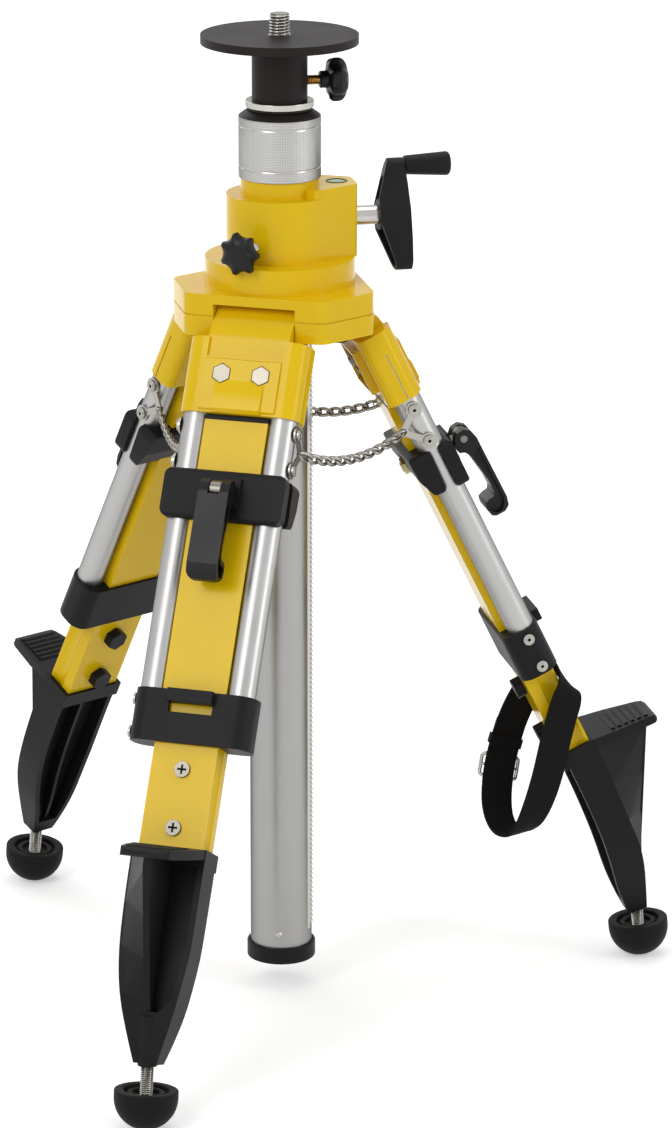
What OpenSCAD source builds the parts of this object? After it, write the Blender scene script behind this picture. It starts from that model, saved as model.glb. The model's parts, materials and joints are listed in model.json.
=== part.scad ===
// Elevating tripod: a crank column in a geared head on three telescopic legs with screw feet.
// Millimetres. The origin is the middle of the platform's top face, +Z is up along the column,
// and +X points to the crank side, over the right leg.

/* [Platform] */
// Diameter of the round platform plate
platform_d = 120; // [100:1:140]
// Thickness of the platform plate
platform_t = 6.6; // [5:0.2:9]
// Diameter of the hub under the plate
hub_d = 42.4; // [40:0.2:48]
// Height of the hub under the plate
hub_h = 43.4; // [40:0.2:50]
// Diameter of the mounting stud
stud_d = 15.875; // [12:0.125:18]
// Height of the mounting stud above the plate
stud_h = 16; // [10:1:22]
// Diameter of the peg that the hub sits on
peg_d = 28; // [20:1:30]
// Height of that peg
peg_h = 32; // [26:1:35]
// Diameter of the platform clamp knob over its lobes
clamp_knob_d = 34; // [28:1:38]
// Diameter of the clamp knob's screw
clamp_screw_d = 8; // [5:0.5:10]

/* [Fine adjustment] */
// Diameter of the bright ring under the hub
ring_d = 52; // [48:1:56]
// Thickness of that ring
ring_t = 5; // [3:0.5:7]
// Gap between the ring and the knurled sleeve
neck_gap = 2.6; // [1.5:0.1:4]
// Diameter of the knurled sleeve
sleeve_d = 63; // [60:1:68]
// Height of the knurled sleeve
sleeve_h = 51.4; // [50:0.2:60]
// Top diameter of the sleeve's black cone
cone_d = 50; // [48:1:54]
// Height of the sleeve's black cone
cone_h = 4.5; // [3:0.5:7]
// Diameter of the adjusting spindle
spindle_d = 44; // [42:1:46]

/* [Column] */
// Outside diameter of the column tube
column_d = 48.6; // [48:0.1:50]
// Wall of the column tube
column_wall = 2.5; // [2:0.1:3.5]
// Length of the column tube
column_len = 630; // [560:5:640]
// Diameter of the cap at the foot of the column
cap_d = 54; // [52:0.5:60]
// Height of that cap
cap_h = 13; // [9:1:18]
// Gear module of the rack and its pinion
rack_module = 1.25; // [1:0.25:1.25]
// Width of the rack
rack_w = 8.6; // [7:0.2:9]

/* [Gear housing] */
// Diameter of the round gear housing
housing_d = 82; // [80:1:90]
// Height of the gear housing above its flange
housing_h = 48.6; // [47:0.2:56]
// Diameter of the housing's collar
collar_d = 60; // [57:1:62]
// Height of the housing's collar
collar_h = 12.5; // [11:0.5:16]
// Diameter of the housing's foot flange
flange_d = 115; // [112:1:118]
// Height of the foot flange
flange_h = 19.8; // [16:0.2:24]
// Reach of the housing's nose from the column axis
nose_reach = 58; // [57:1:64]
// How far the nose stands above the housing's shoulder
nose_rise = 7; // [5:0.5:8]
// Diameter of the round level vial
vial_d = 17; // [14:0.5:18]
// Diameter of the lock knob over its lobes
lock_knob_d = 33; // [28:1:36]

/* [Crank] */
// Diameter of the crank shaft
shaft_d = 14.8; // [12:0.2:15]
// Length of the crank arm, end to end
arm_len = 88; // [76:1:96]
// Thickness of the crank arm at its ends
arm_t = 11.5; // [9:0.5:13]
// Thickness of the crank arm at its hub
arm_hub_t = 24; // [22:1:27]
// Width of the crank arm at its hub
arm_hub_w = 27; // [24:1:32]
// Width of the crank arm at its ends
arm_end_w = 17; // [14:1:20]
// Length of the crank grip
grip_len = 36; // [30:1:50]
// Diameter of the grip next to the arm
grip_root_d = 14.6; // [12:0.2:16]
// Diameter of the grip at its free end
grip_end_d = 19; // [17:0.5:24]
// Turn of the crank arm from upright at rest
crank_rest = 26; // [0:1:40]

/* [Head] */
// Distance from the column axis to each leg's face of the head
face_reach = 62.5; // [60:0.5:68]
// Width of each leg's face of the head
face_w = 110; // [106:1:116]
// Thickness of the head's upper plate
plate_h = 16.4; // [14:0.2:20]
// Thickness of the head's lower ring, which carries the hinges
hinge_ring_h = 16.4; // [16:0.2:20]
// Width of the notch that takes a leg's hinge
notch_w = 65; // [62:1:66]
// Distance from the column axis to a hinge
hinge_reach = 48; // [46:0.5:49]
// Diameter of the hinge barrel
barrel_d = 22; // [20:0.5:22.5]
// Diameter of the hinge pin
pin_d = 8; // [6:0.5:9]

/* [Legs] */
// Spread of the front leg from upright
front_spread = 28.1; // [20:0.1:30]
// Spread of the left leg from upright
left_spread = 28.1; // [20:0.1:30]
// Spread of the right leg from upright
right_spread = 26.1; // [20:0.1:30]
// Offset of the leg tubes outward from the hinge
tube_off = 9.5; // [9:0.5:11]
// Outside diameter of a leg tube
tube_d = 22; // [20:0.5:23]
// Wall of a leg tube
tube_wall = 1.5; // [1:0.1:2.5]
// Distance between the two tubes of a leg, centre to centre
tube_pitch = 68; // [66:0.5:72]
// Distance from the hinge down to the bracket's shoulder
bracket_drop = 19.7; // [19:0.1:22]
// Height of the bracket
bracket_h = 58.5; // [52:0.5:66]
// Wall of the bracket round the tubes
bracket_wall = 2.4; // [2:0.1:3.5]
// Travel of a leg's extension
leg_travel = 126; // [90:1:140]
// Height of the lower collar
lower_collar_h = 40; // [34:1:48]
// Width of the inner leg profile
profile_w = 50; // [48:0.5:52]
// How far the inner leg profile stands out from the tubes' plane
profile_out = 9; // [8:0.2:10]
// How far it stands in from that plane
profile_in = 16; // [14:0.2:18]
// Wall of the inner leg profile
profile_wall = 3; // [2:0.2:3.4]
// Length of inner leg that shows between collar and shoe
profile_bare = 77; // [70:1:90]

/* [Leg clamps] */
// Height of the clamp jaws
clamp_h = 38.8; // [35:0.2:44]
// Width of the clamp jaws
clamp_w = 96; // [94:0.5:100]
// Thickness of a clamp jaw over the profile
jaw_t = 6; // [4:0.2:7]
// Distance of the lever's pin from the outer jaw
lever_stand = 13; // [12:0.5:16]
// Diameter of the lever's eye
lever_eye_d = 15; // [14:0.2:16]
// Length of the lever from its pin to its tip
lever_len = 70; // [60:1:75]
// Width of the lever
lever_w = 24; // [20:1:28]
// Diameter of the clamp bolt
bolt_d = 8; // [6:0.5:9]

/* [Shoes and feet] */
// Height of the shoe along the leg
shoe_h = 160; // [140:1:180]
// Width of the shoe at its socket
shoe_w = 58; // [56:1:64]
// Reach of the tread outward from the tubes' plane
tread_reach = 67; // [55:1:75]
// Tilt of the foot spindle from the leg's line
foot_tilt = 20; // [16:1:24]
// How far the front foot is screwed out
foot_set = 3.87; // [2:0.01:6]
// Diameter of the foot spindle
rod_d = 10; // [8:0.5:11]
// Diameter of the rubber foot
foot_d = 48; // [40:1:52]

/* [Chains and strap] */
// Number of links in a chain
links = 11; // [9:2:13]
// Diameter of the chain's wire
wire_d = 2.2; // [1.8:0.1:2.4]
// Sag of a chain between its ends
chain_sag = 12; // [5:1:14]
// Width of the carrying strap
strap_w = 25; // [18:1:28]
// Thickness of the carrying strap
strap_t = 2; // [1.5:0.1:2.4]

/* [Hidden] */
$fn = 48;

// Finish of each material
yellow = [0.93, 0.74, 0.08];
alloy = [0.76, 0.77, 0.78];
black = [0.09, 0.09, 0.10];
steel = [0.82, 0.82, 0.80];
rubber = [0.06, 0.06, 0.06];
green = [0.45, 0.70, 0.35];

// Clearances: a running fit, a loose gap, the overrun of a cut and the depth of a seam
fit = 0.05;
gap = 0.4;
over = 1;
seam = 0.8;

// Legs in turn round the head, seen from above: front, right, left
leg_az = [-120, 0, 120];
leg_spread = [front_spread, right_spread, left_spread];

// Heights of the stack, down from the platform's top face
hub_z = -platform_t - hub_h;
ring_z = hub_z - ring_t;
sleeve_z = ring_z - neck_gap;
sleeve_end_z = sleeve_z - sleeve_h;
collar_z = sleeve_end_z - gap;
shoulder_z = collar_z - collar_h;
flange_z = shoulder_z - housing_h;
plate_z = flange_z - flange_h;
ring_plate_z = plate_z - plate_h;
head_end_z = ring_plate_z - hinge_ring_h;
hinge_sink = 5.3;
hinge_z = ring_plate_z - hinge_sink;
column_entry = 8;
column_z = sleeve_end_z + column_entry;
column_end_z = column_z - column_len;
crank_drop = 20.6;
crank_z = shoulder_z - crank_drop;

// Stations down a leg, from the shoulder of its bracket
rivet_drop = 9.2;
rivet_s = bracket_h + rivet_drop;
rivet_pitch = 27.8;
rivet_end_s = rivet_s + rivet_pitch;
clamp_drop = 7;
clamp_s = rivet_end_s + clamp_drop;
bolt_share = 0.464;
bolt_s = clamp_s + clamp_h * bolt_share;
clamp_end_s = clamp_s + clamp_h;
travel_spare = 3.7;
lower_collar_s = clamp_end_s + leg_travel + travel_spare;
lower_collar_end_s = lower_collar_s + lower_collar_h;
shoe_s = lower_collar_end_s + profile_bare;
end_cap_t = 3.4;
end_gap = 1.1;
profile_s = bracket_h + end_gap + end_cap_t;
socket_depth = 11;
profile_end_s = shoe_s + socket_depth;

function unit(v) = v / norm(v);
function sized(shares, a, b) = [for (p = shares) [p.x * a, p.y * b]];

// Arc of n steps that rounds the corner b of an outline between a and c
function corner(a, b, c, r, n) =
  let (u = unit(a - b), v = unit(c - b), half = acos(u * v) / 2)
  let (ctr = b + unit(u + v) * r / sin(half))
  let (p = b + u * r / tan(half) - ctr, q = b + v * r / tan(half) - ctr)
  let (a0 = atan2(p.y, p.x), turn = (atan2(q.y, q.x) - a0 + 540) % 360 - 180)
  [for (i = [0:n]) ctr + r * [cos(a0 + turn * i / n), sin(a0 + turn * i / n)]];

// Outline with every corner rounded
function rounded(pts, r, n = 6) =
  let (m = len(pts))
  [for (i = [0:m - 1]) each corner(pts[(i + m - 1) % m], pts[i], pts[(i + 1) % m], r, n)];

// Smooth curve through the points, with n steps from one to the next
function curve(pts, n = 3) =
  let (m = len(pts) - 1)
  [
    for (i = [0:m - 1], k = [0:n - 1])
      let (a = pts[max(i - 1, 0)], b = pts[i], c = pts[i + 1], d = pts[min(i + 2, m)], t = k / n)
      b + ((c - a) * t + (2 * a - 5 * b + 4 * c - d) * t * t + (3 * b - a - 3 * c + d) * t * t * t) / 2,
    pts[m]
  ];

// Outline in X and Z, made solid over the width w about Y
module side_plate(w) rotate([90, 0, 0]) linear_extrude(w, center = true) children();

// Outline in Y and Z, made solid from x0 to x1
module front_plate(x0, x1) translate([x0, 0, 0]) rotate([90, 0, 90]) linear_extrude(x1 - x0) children();

// Round bar along X from x0 to x1, and round bar across Y
module bar_x(r, x0, x1) translate([x0, 0, 0]) rotate([0, 90, 0]) cylinder(h = x1 - x0, r = r);
module bar_y(r, w) rotate([90, 0, 0]) cylinder(h = w, r = r, center = true);

// Six-sided bar along X, across its flats
module hex_x(flats, x0, x1)
  translate([x0, 0, 0]) rotate([0, 90, 0]) cylinder(h = x1 - x0, r = flats / 2 / cos(30), $fn = 6);

// Straight strip of an outline between two points
module strip(a, b, w)
  translate(a) rotate(atan2(b.y - a.y, b.x - a.x)) translate([0, -w / 2]) square([norm(b - a), w]);

// Both sides of a leg
module both(y) for (side = [-1, 1]) translate([0, side * y, 0]) children();

// Star of a knob: a disc with scallops cut from its rim
knob_lobes = 7;
scallop_share = 0.36;
module star(d) difference() {
  circle(d / 2);
  for (i = [0:knob_lobes - 1])
    rotate(i * 360 / knob_lobes) translate([d / 2 * (1 + scallop_share / 2), 0])
      circle(d / 2 * scallop_share);
}

// Frame of a leg: X out from the plane of its tubes, Y across, Z up the leg from the shoulder
module in_leg(i)
  rotate([0, 0, leg_az[i]]) translate([hinge_reach, 0, hinge_z]) rotate([0, -leg_spread[i], 0])
    translate([tube_off, 0, -bracket_drop]) children();

// The same frame for one point
function leg_point(i, p) =
  let (x = p.x + tube_off, z = p.z - bracket_drop, th = leg_spread[i], az = leg_az[i])
  let (r = hinge_reach + x * cos(th) - z * sin(th))
  [r * cos(az) - p.y * sin(az), r * sin(az) + p.y * cos(az), hinge_z + x * sin(th) + z * cos(th)];

// Head: two plates of one outline, with a notch for each leg's hinge
head_round = 12;
head_outline = [
  for (az = [-120, 0, 120]) each [
    for (side = [-1, 1])
      let (x = face_reach, y = side * face_w / 2)
      [x * cos(az) - y * sin(az), x * sin(az) + y * cos(az)]
  ]
];
notch_clear = 0.7;
notch_reach = hinge_reach - barrel_d / 2 - notch_clear;
notch_rise = 8.7;
column_clear = 4.2;
head_bore_r = column_d / 2 + column_clear;
screw_reach = 66;
screw_d = 8;
screw_head_d = 16;
screw_head_t = 3;
screw_depth = 10;

module notches(z, h)
  for (az = leg_az)
    rotate([0, 0, az]) translate([notch_reach, -notch_w / 2, z]) cube([face_reach, notch_w, h]);

module at_head_screws()
  for (az = [-60, 60, 180]) rotate([0, 0, az]) translate([screw_reach, 0, 0]) children();

module head_plate() color(yellow) difference() {
  translate([0, 0, ring_plate_z]) linear_extrude(plate_h) polygon(rounded(head_outline, head_round));
  translate([0, 0, ring_plate_z - over]) cylinder(h = plate_h + 2 * over, r = head_bore_r);
  notches(ring_plate_z - over, notch_rise + over);
  at_head_screws() translate([0, 0, ring_plate_z - over])
    cylinder(h = screw_depth + over, d = screw_d + 2 * fit);
}

module hinge_ring() color(yellow) difference() {
  union() {
    translate([0, 0, head_end_z]) linear_extrude(hinge_ring_h - seam)
      polygon(rounded(head_outline, head_round));
    translate([0, 0, head_end_z]) linear_extrude(hinge_ring_h)
      intersection() {
        scale(1 - seam / face_reach) polygon(rounded(head_outline, head_round));
        polygon(rounded(head_outline, head_round));
      }
  }
  translate([0, 0, head_end_z - over]) cylinder(h = hinge_ring_h + 2 * over, r = head_bore_r);
  notches(head_end_z - over, hinge_ring_h + 2 * over);
  for (az = leg_az)
    rotate([0, 0, az]) translate([hinge_reach, 0, hinge_z]) bar_y(pin_d / 2 + fit, pin_len + 2 * gap);
  at_head_screws() translate([0, 0, head_end_z - over])
    cylinder(h = hinge_ring_h + 2 * over, d = screw_d + 2 * fit);
}

module head_screws() color(black) at_head_screws() {
  translate([0, 0, head_end_z - screw_head_t]) cylinder(h = screw_head_t, d = screw_head_d);
  translate([0, 0, head_end_z - screw_head_t])
    cylinder(h = screw_head_t + hinge_ring_h + screw_depth - gap, d = screw_d);
}

// Gear train: worm on the crank shaft, worm wheel and pinion on one cross shaft, rack on the column
pinion_teeth = 18;
pinion_r = rack_module * pinion_teeth / 2;
pinion_side = 0.5;
pinion_w = rack_w - 2 * pinion_side;
tooth_share = 0.4;
lean_share = 0.34;
addendum_share = 0.72;
dedendum_share = 1.04;
backlash = 0.1;
rack_y = -12;
rack_inset = 1.9;
rack_t = 5.4;
rack_tip_x = column_d / 2 - rack_inset;
rack_pitch_x = rack_tip_x - addendum_share * rack_module;
rack_root_x = rack_pitch_x - dedendum_share * rack_module;
rack_back_x = rack_tip_x - rack_t;
rack_drop = 6;
rack_z = shoulder_z - rack_drop;
rack_lift = 16;
rack_end_z = column_end_z + rack_lift;
gear_x = rack_pitch_x + pinion_r + backlash;
worm_module = 1;
worm_starts = 4;
worm_r = 5;
wheel_teeth = 14;
wheel_r = worm_module * wheel_teeth / 2;
wheel_w = 6;
worm_play = 0.1;
gear_z = crank_z - worm_r - wheel_r - worm_play;
gear_shaft_d = 7;
gear_room = 1.4;
nose_room = 1;
cavity_x = gear_x + pinion_r + rack_module + nose_room;
wheel_room = 5;
cavity_y0 = wheel_w / 2 + wheel_room;
cavity_y1 = pinion_w / 2 + gear_room - rack_y;
worm_room = 2.4;
cavity_top_z = crank_z + worm_r + worm_room;
cavity_end_z = gear_z - pinion_r - rack_module - gear_room;
gear_bearing = 6;

// Gear outline with straight flanks
function gear_points(n, r, m) = [
  for (i = [0:n - 1]) let (a = 360 / n, half = a * tooth_share / 2, lean = half * lean_share) each [
    for (p = [[-1, 0], [-1, 1], [1, 1], [1, 0]])
      let (rr = r + (p.y == 1 ? addendum_share : -dedendum_share) * m)
      let (aa = (i + 0.5) * a + p.x * (half + (p.y == 1 ? -lean : lean)))
      rr * [cos(aa), sin(aa)]
  ]
];

module gear_housing() color(yellow) difference() {
  union() {
    translate([0, 0, shoulder_z]) cylinder(h = collar_h, d = collar_d);
    translate([0, 0, flange_z]) cylinder(h = housing_h, d = housing_d);
    translate([0, 0, plate_z]) cylinder(h = flange_h, d = flange_d);
    translate([0, 0, flange_z - seam]) linear_extrude(housing_h + nose_rise + seam) nose_outline();
  }
  translate([0, 0, bush_end_z]) cylinder(h = collar_z - bush_end_z + over, r = bush_r + fit);
  translate([0, 0, plate_z - over])
    cylinder(h = collar_z - plate_z + over, r = column_d / 2 + column_relief);
  translate([0, 0, plate_z - over]) cylinder(h = low_bush_z - plate_z + over, r = bush_r + fit);
  key_slot(plate_z - over, collar_z - plate_z + 2 * over);
  translate([rack_back_x, -cavity_y1, cavity_end_z])
    cube([cavity_x - rack_back_x, cavity_y0 + cavity_y1, cavity_top_z - cavity_end_z]);
  translate([0, 0, crank_z]) bar_x(shaft_d / 2 + fit, column_d / 2, nose_reach + over);
  translate([gear_x, cavity_y0 + gear_bearing, gear_z]) rotate([90, 0, 0])
    cylinder(h = cavity_y0 + cavity_y1 + 2 * gear_bearing, d = gear_shaft_d + 2 * fit);
  translate([vial_x, 0, nose_z - vial_depth]) cylinder(h = vial_depth + over, d = vial_d + 2 * fit);
  at_lock() bar_x(lock_screw_d / 2 + fit, 0, housing_d);
}

// Nose: a wedge with flat sides that carries the crank shaft
nose_round = 6;
nose_side = 60;
nose_bite = 1.5;
nose_half = (housing_d / 2 - nose_reach * cos(nose_side)) / sin(nose_side);
nose_z = shoulder_z + nose_rise;
module nose_outline()
  let (tip = [nose_reach, nose_half])
  let (root = (housing_d / 2 - nose_bite) * [cos(nose_side), sin(nose_side)])
  polygon([
    each corner(root, tip, [tip.x, -tip.y], nose_round, 6),
    each corner(tip, [tip.x, -tip.y], [root.x, -root.y], nose_round, 6),
    [root.x, -root.y], [0, 0], root
  ]);

// Bushes: two plain bushes with a slot for the rack
bush_t = 2.6;
bush_fit = 0.06;
bush_h = 21;
bush_r = column_d / 2 + bush_fit + bush_t;
bush_end_z = collar_z - bush_h;
low_bush_z = plate_z + bush_h;
column_relief = 1.2;
key_clear = 0.4;
module key_slot(z, h)
  translate([0, rack_y - rack_w / 2 - key_clear, z])
    cube([rack_tip_x + key_clear, rack_w + 2 * key_clear, h]);

module column_bushes() color(alloy) difference() {
  for (z = [bush_end_z, plate_z]) translate([0, 0, z]) cylinder(h = bush_h, r = bush_r);
  translate([0, 0, plate_z - over])
    cylinder(h = collar_z - plate_z + 2 * over, r = column_d / 2 + bush_fit);
  key_slot(plate_z - over, collar_z - plate_z + 2 * over);
}

// Round level let into the top of the nose
vial_x = 44;
vial_depth = 5;
vial_proud = 0.4;
module level_vial() color(green) {
  translate([vial_x, 0, nose_z - vial_depth]) cylinder(h = vial_depth + vial_proud, d = vial_d);
}

// Crank: shaft with its worm, arm and turning grip
shaft_seat = 1.6;
worm_end = 1.2;
worm_core_d = 5;
worm_lead = worm_starts * PI * worm_module;
arm_stand = 18;
arm_x = nose_reach + arm_stand;
arm_out_x = arm_x + arm_hub_t;
arm_bore = 19;
grip_inset = 6;
grip_r = arm_len / 2 - grip_inset;
grip_pin_d = 6;
grip_floor = 5;
grip_x = arm_out_x + gap;
grip_round = 3;
module on_crank() translate([0, 0, crank_z]) rotate([-crank_rest, 0, 0]) children();

module crank_shaft() color(steel) on_crank() {
  bar_x(shaft_d / 2, cavity_x + gap, arm_x + arm_bore);
  bar_x(worm_core_d / 2, column_d / 2 + worm_end, cavity_x + gap + over);
  translate([column_d / 2 + worm_end, 0, 0]) rotate([0, 90, 0])
    linear_extrude(worm_len, twist = -360 * worm_len / worm_lead, slices = worm_slices, convexity = 6)
      rotate(crank_rest - 360 * (gear_x - column_d / 2 - worm_end) / worm_lead)
        polygon(gear_points(worm_starts, worm_r, worm_module));
  translate([0, 0, grip_r])
    bar_x(grip_pin_d / 2, arm_out_x - arm_t / 2, grip_x + grip_len - grip_floor - gap);
}
worm_len = cavity_x - column_d / 2 - worm_end - shaft_seat;
worm_slices = 30;

arm_side_shares = [[0.46, 1], [0.96, 1], [1, 0.5], [1, -0.5], [0.96, -1], [0.46, -1], [0, -0.2], [0, 0.2]];
arm_wall = 3;
pocket_share = 0.68;
pocket_root = 12;
module arm_outline(inset) {
  circle(arm_hub_w / 2 - inset);
  for (side = [-1, 1]) translate([0, side * (arm_len - arm_end_w) / 2]) circle(arm_end_w / 2 - inset);
  polygon([
    for (p = [[1, 0], [1, 1], [-1, 1], [-1, 0], [-1, -1], [1, -1]])
      [p.x * ((p.y == 0 ? arm_hub_w : arm_end_w) / 2 - inset), p.y * (arm_len - arm_end_w) / 2]
  ]);
}
module crank_arm() color(black) on_crank() difference() {
  intersection() {
    translate([arm_x, 0, 0]) side_plate(arm_hub_w) polygon(sized(arm_side_shares, arm_hub_t, arm_len / 2));
    front_plate(arm_x - over, arm_out_x + over) arm_outline(0);
  }
  difference() {
    front_plate(arm_x - over, arm_out_x - arm_wall) arm_outline(arm_wall);
    bar_x(pocket_root, arm_x - over, arm_out_x);
    translate([arm_x - over, -arm_hub_w / 2, arm_len / 2 * pocket_share])
      cube([arm_hub_t, arm_hub_w, arm_len]);
  }
  bar_x(shaft_d / 2 + fit, arm_x - over, arm_x + arm_bore + gap);
  translate([0, 0, grip_r]) bar_x(grip_pin_d / 2 + fit, arm_out_x - arm_t / 2 - gap, arm_out_x + over);
}

module grip_outline() difference() {
  polygon([
    [0, 0], [grip_root_d / 2, 0],
    each corner([grip_root_d / 2, 0], [grip_end_d / 2, grip_len], [0, grip_len], grip_round, 6),
    [0, grip_len]
  ]);
  translate([-over, -over]) square([grip_pin_d / 2 + fit + over, grip_len - grip_floor + over]);
}
module crank_grip() color(black) on_crank() translate([grip_x, 0, grip_r]) rotate([0, 90, 0])
  rotate_extrude() grip_outline();

// Cross shaft with the worm wheel and the pinion
module gear_shaft() color(steel) translate([gear_x, 0, gear_z]) {
  translate([0, cavity_y0 + gear_bearing - gap, 0]) rotate([90, 0, 0])
    cylinder(h = cavity_y0 + cavity_y1 + 2 * (gear_bearing - gap), d = gear_shaft_d);
  translate([0, rack_y, 0]) side_plate(pinion_w) polygon(gear_points(pinion_teeth, pinion_r, rack_module));
  rotate([90, 0, 0]) linear_extrude(wheel_w, center = true, twist = -wheel_twist, slices = 6, convexity = 6)
    rotate(-wheel_twist / 2) polygon(gear_points(wheel_teeth, wheel_r, worm_module));
}
wheel_twist = wheel_w * worm_lead / (2 * PI * worm_r) / wheel_r * 180 / PI;

// Lock knob on its screw, through the housing to the column
lock_az = -130;
lock_drop = 35.6;
lock_screw_d = 8;
lock_stand = 1;
lock_reach = flange_d / 2 + lock_stand;
lock_knob_t = 11.5;
knob_boss_share = 0.55;
module at_lock() rotate([0, 0, lock_az]) translate([0, 0, shoulder_z - lock_drop]) children();

// Knob with its boss and screw along X: screw from x0, boss from x1, star from x2 to x3
module star_knob(d, screw, x0, x1, x2, x3) {
  bar_x(screw / 2, x0, x2 + over);
  bar_x(d / 2 * knob_boss_share, x1, x2 + over);
  translate([x2, 0, 0]) rotate([0, 90, 0]) linear_extrude(x3 - x2) star(d);
}
module lock_knob() color(black) at_lock()
  star_knob(
    lock_knob_d, lock_screw_d,
    column_d / 2 + gap, housing_d / 2 + lock_knob_t, lock_reach, lock_reach + lock_knob_t
  );

// Column: tube with a rack let into its wall, a cap below and a head with the thrust disc above
cap_floor = 9.4;
cap_plug = 12;
module column_tube() color(alloy) difference() {
  translate([0, 0, column_end_z]) cylinder(h = column_len, d = column_d);
  translate([0, 0, column_end_z - over])
    cylinder(h = column_len + 2 * over, d = column_d - 2 * column_wall);
  translate([0, rack_y - rack_w / 2, rack_end_z]) cube([column_d, rack_w, rack_z - rack_end_z]);
}

module column_rack() color(steel) translate([0, rack_y, 0]) side_plate(rack_w) {
  translate([rack_back_x, rack_end_z]) square([rack_root_x - rack_back_x, rack_z - rack_end_z]);
  for (z = [gear_z : rack_step : rack_z - rack_step])
    translate([0, z]) rack_tooth();
  for (z = [gear_z - rack_step : -rack_step : rack_end_z + rack_step])
    translate([0, z]) rack_tooth();
}
rack_step = PI * rack_module;
flank_share = 0.26;
root_flank_share = 0.364;
module rack_tooth()
  polygon([
    for (p = [[0, -1], [1, -1], [1, 1], [0, 1]])
      [
        p.x == 1 ? rack_tip_x : rack_root_x - seam,
        p.y * (tooth_share * rack_step / 2 + (p.x == 1 ? -flank_share : root_flank_share) * rack_module)
      ]
  ]);

module column_cap() color(black) difference() {
  union() {
    translate([0, 0, column_end_z - cap_floor]) cylinder(h = cap_h, d = cap_d);
    translate([0, 0, column_end_z - cap_floor])
      cylinder(h = cap_floor + cap_plug, d = column_d - 2 * column_wall - 2 * fit);
  }
  translate([0, 0, column_end_z]) difference() {
    cylinder(h = cap_h, d = column_d + 2 * fit);
    translate([0, 0, -over]) cylinder(h = cap_h + 2 * over, d = column_d - 2 * column_wall - 2 * fit);
  }
}

thrust_t = 4;
thrust_over = 2.7;
head_plug = 20;
post_d = 30;
post_drop = 4.4;
module column_head() color(steel) {
  translate([0, 0, column_z - head_plug])
    cylinder(h = head_plug + over, d = column_d - 2 * column_wall - 2 * fit);
  translate([0, 0, column_z]) cylinder(h = thrust_t, d = column_d + 2 * thrust_over);
  translate([0, 0, column_z]) cylinder(h = sleeve_z - post_drop - column_z, d = post_d);
}

// Knurled sleeve: turns on the thrust disc and drives the spindle up and down
groove_t = 1.2;
groove_depth = 0.7;
groove_top = 11.3;
groove_low = 8.4;
module fine_sleeve() color(alloy) difference() {
  union() {
    translate([0, 0, sleeve_end_z]) cylinder(h = sleeve_h - cone_h, d = sleeve_d);
    translate([0, 0, sleeve_z - cone_h]) cylinder(h = cone_h, d1 = sleeve_d, d2 = cone_d);
  }
  translate([0, 0, sleeve_end_z - over]) cylinder(h = sleeve_h + 2 * over, d = spindle_d + 2 * fit);
  translate([0, 0, sleeve_end_z - over]) cylinder(h = column_entry + over, d = column_d + 2 * gap);
  translate([0, 0, column_z - gap])
    cylinder(h = thrust_t + 2 * gap, d = column_d + 2 * (thrust_over + gap));
  for (z = [sleeve_z - groove_top, sleeve_end_z + groove_low])
    translate([0, 0, z - groove_t / 2]) difference() {
      cylinder(h = groove_t, d = sleeve_d + 2 * over);
      translate([0, 0, -over]) cylinder(h = groove_t + 2 * over, d = sleeve_d - 2 * groove_depth);
    }
}

// Spindle: thread in the sleeve, bright ring, and the peg that the platform turns on
neck_d = 49;
post_room = 2.4;
module platform_spindle() color(steel) difference() {
  union() {
    translate([0, 0, column_z + thrust_t + 2 * gap])
      cylinder(h = ring_z - column_z - thrust_t - gap, d = spindle_d);
    translate([0, 0, sleeve_z + gap]) cylinder(h = neck_gap, d = neck_d);
    translate([0, 0, ring_z]) cylinder(h = ring_t, d = ring_d);
    translate([0, 0, hub_z - over]) cylinder(h = peg_h + over, d = peg_d);
  }
  translate([0, 0, column_z])
    cylinder(h = sleeve_z - post_drop + post_room - column_z, d = post_d + 2 * fit);
}

module platform() color(black) difference() {
  union() {
    translate([0, 0, -platform_t]) cylinder(h = platform_t, d = platform_d);
    translate([0, 0, hub_z]) cylinder(h = hub_h + over, d = hub_d);
  }
  translate([0, 0, hub_z - over]) cylinder(h = peg_h + gap + over, d = peg_d + 2 * fit);
  translate([0, 0, -stud_root]) cylinder(h = stud_root + over, d = stud_d + 2 * (stud_step + fit));
  translate([0, 0, knob_z]) bar_x(clamp_screw_d / 2 + fit, 0, hub_d);
}

stud_root = 13;
stud_step = 1.2;
stud_lead = 1.2;
module mounting_stud() color(steel) {
  translate([0, 0, -stud_root]) cylinder(h = stud_root, d = stud_d + 2 * stud_step);
  cylinder(h = stud_h - stud_lead, d = stud_d);
  translate([0, 0, stud_h - stud_lead]) cylinder(h = stud_lead, d1 = stud_d, d2 = stud_d - 2 * stud_lead);
}

knob_drop = 29.4;
knob_z = -platform_t - knob_drop;
knob_stand = 11.8;
knob_x = hub_d / 2 + knob_stand;
knob_boss = 6;
clamp_knob_t = 13.4;
module platform_knob() color(black) translate([0, 0, knob_z])
  star_knob(
    clamp_knob_d, clamp_screw_d,
    peg_d / 2 + gap, knob_x, knob_x + knob_boss, knob_x + knob_boss + clamp_knob_t
  );

// Shell section of bracket and collar: round over both tubes, flat inside
module shell_section(r, inner, round_r) {
  half = tube_pitch / 2 + r;
  for (side = [-1, 1]) translate([0, side * tube_pitch / 2]) circle(r);
  for (side = [-1, 1]) translate([round_r - inner, side * (half - round_r)]) circle(round_r);
  translate([-inner, round_r - half]) square([inner, 2 * (half - round_r)]);
  translate([round_r - inner, -half]) square([inner - round_r, 2 * half]);
  translate([0, -tube_pitch / 2]) square([r, tube_pitch]);
}

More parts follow.
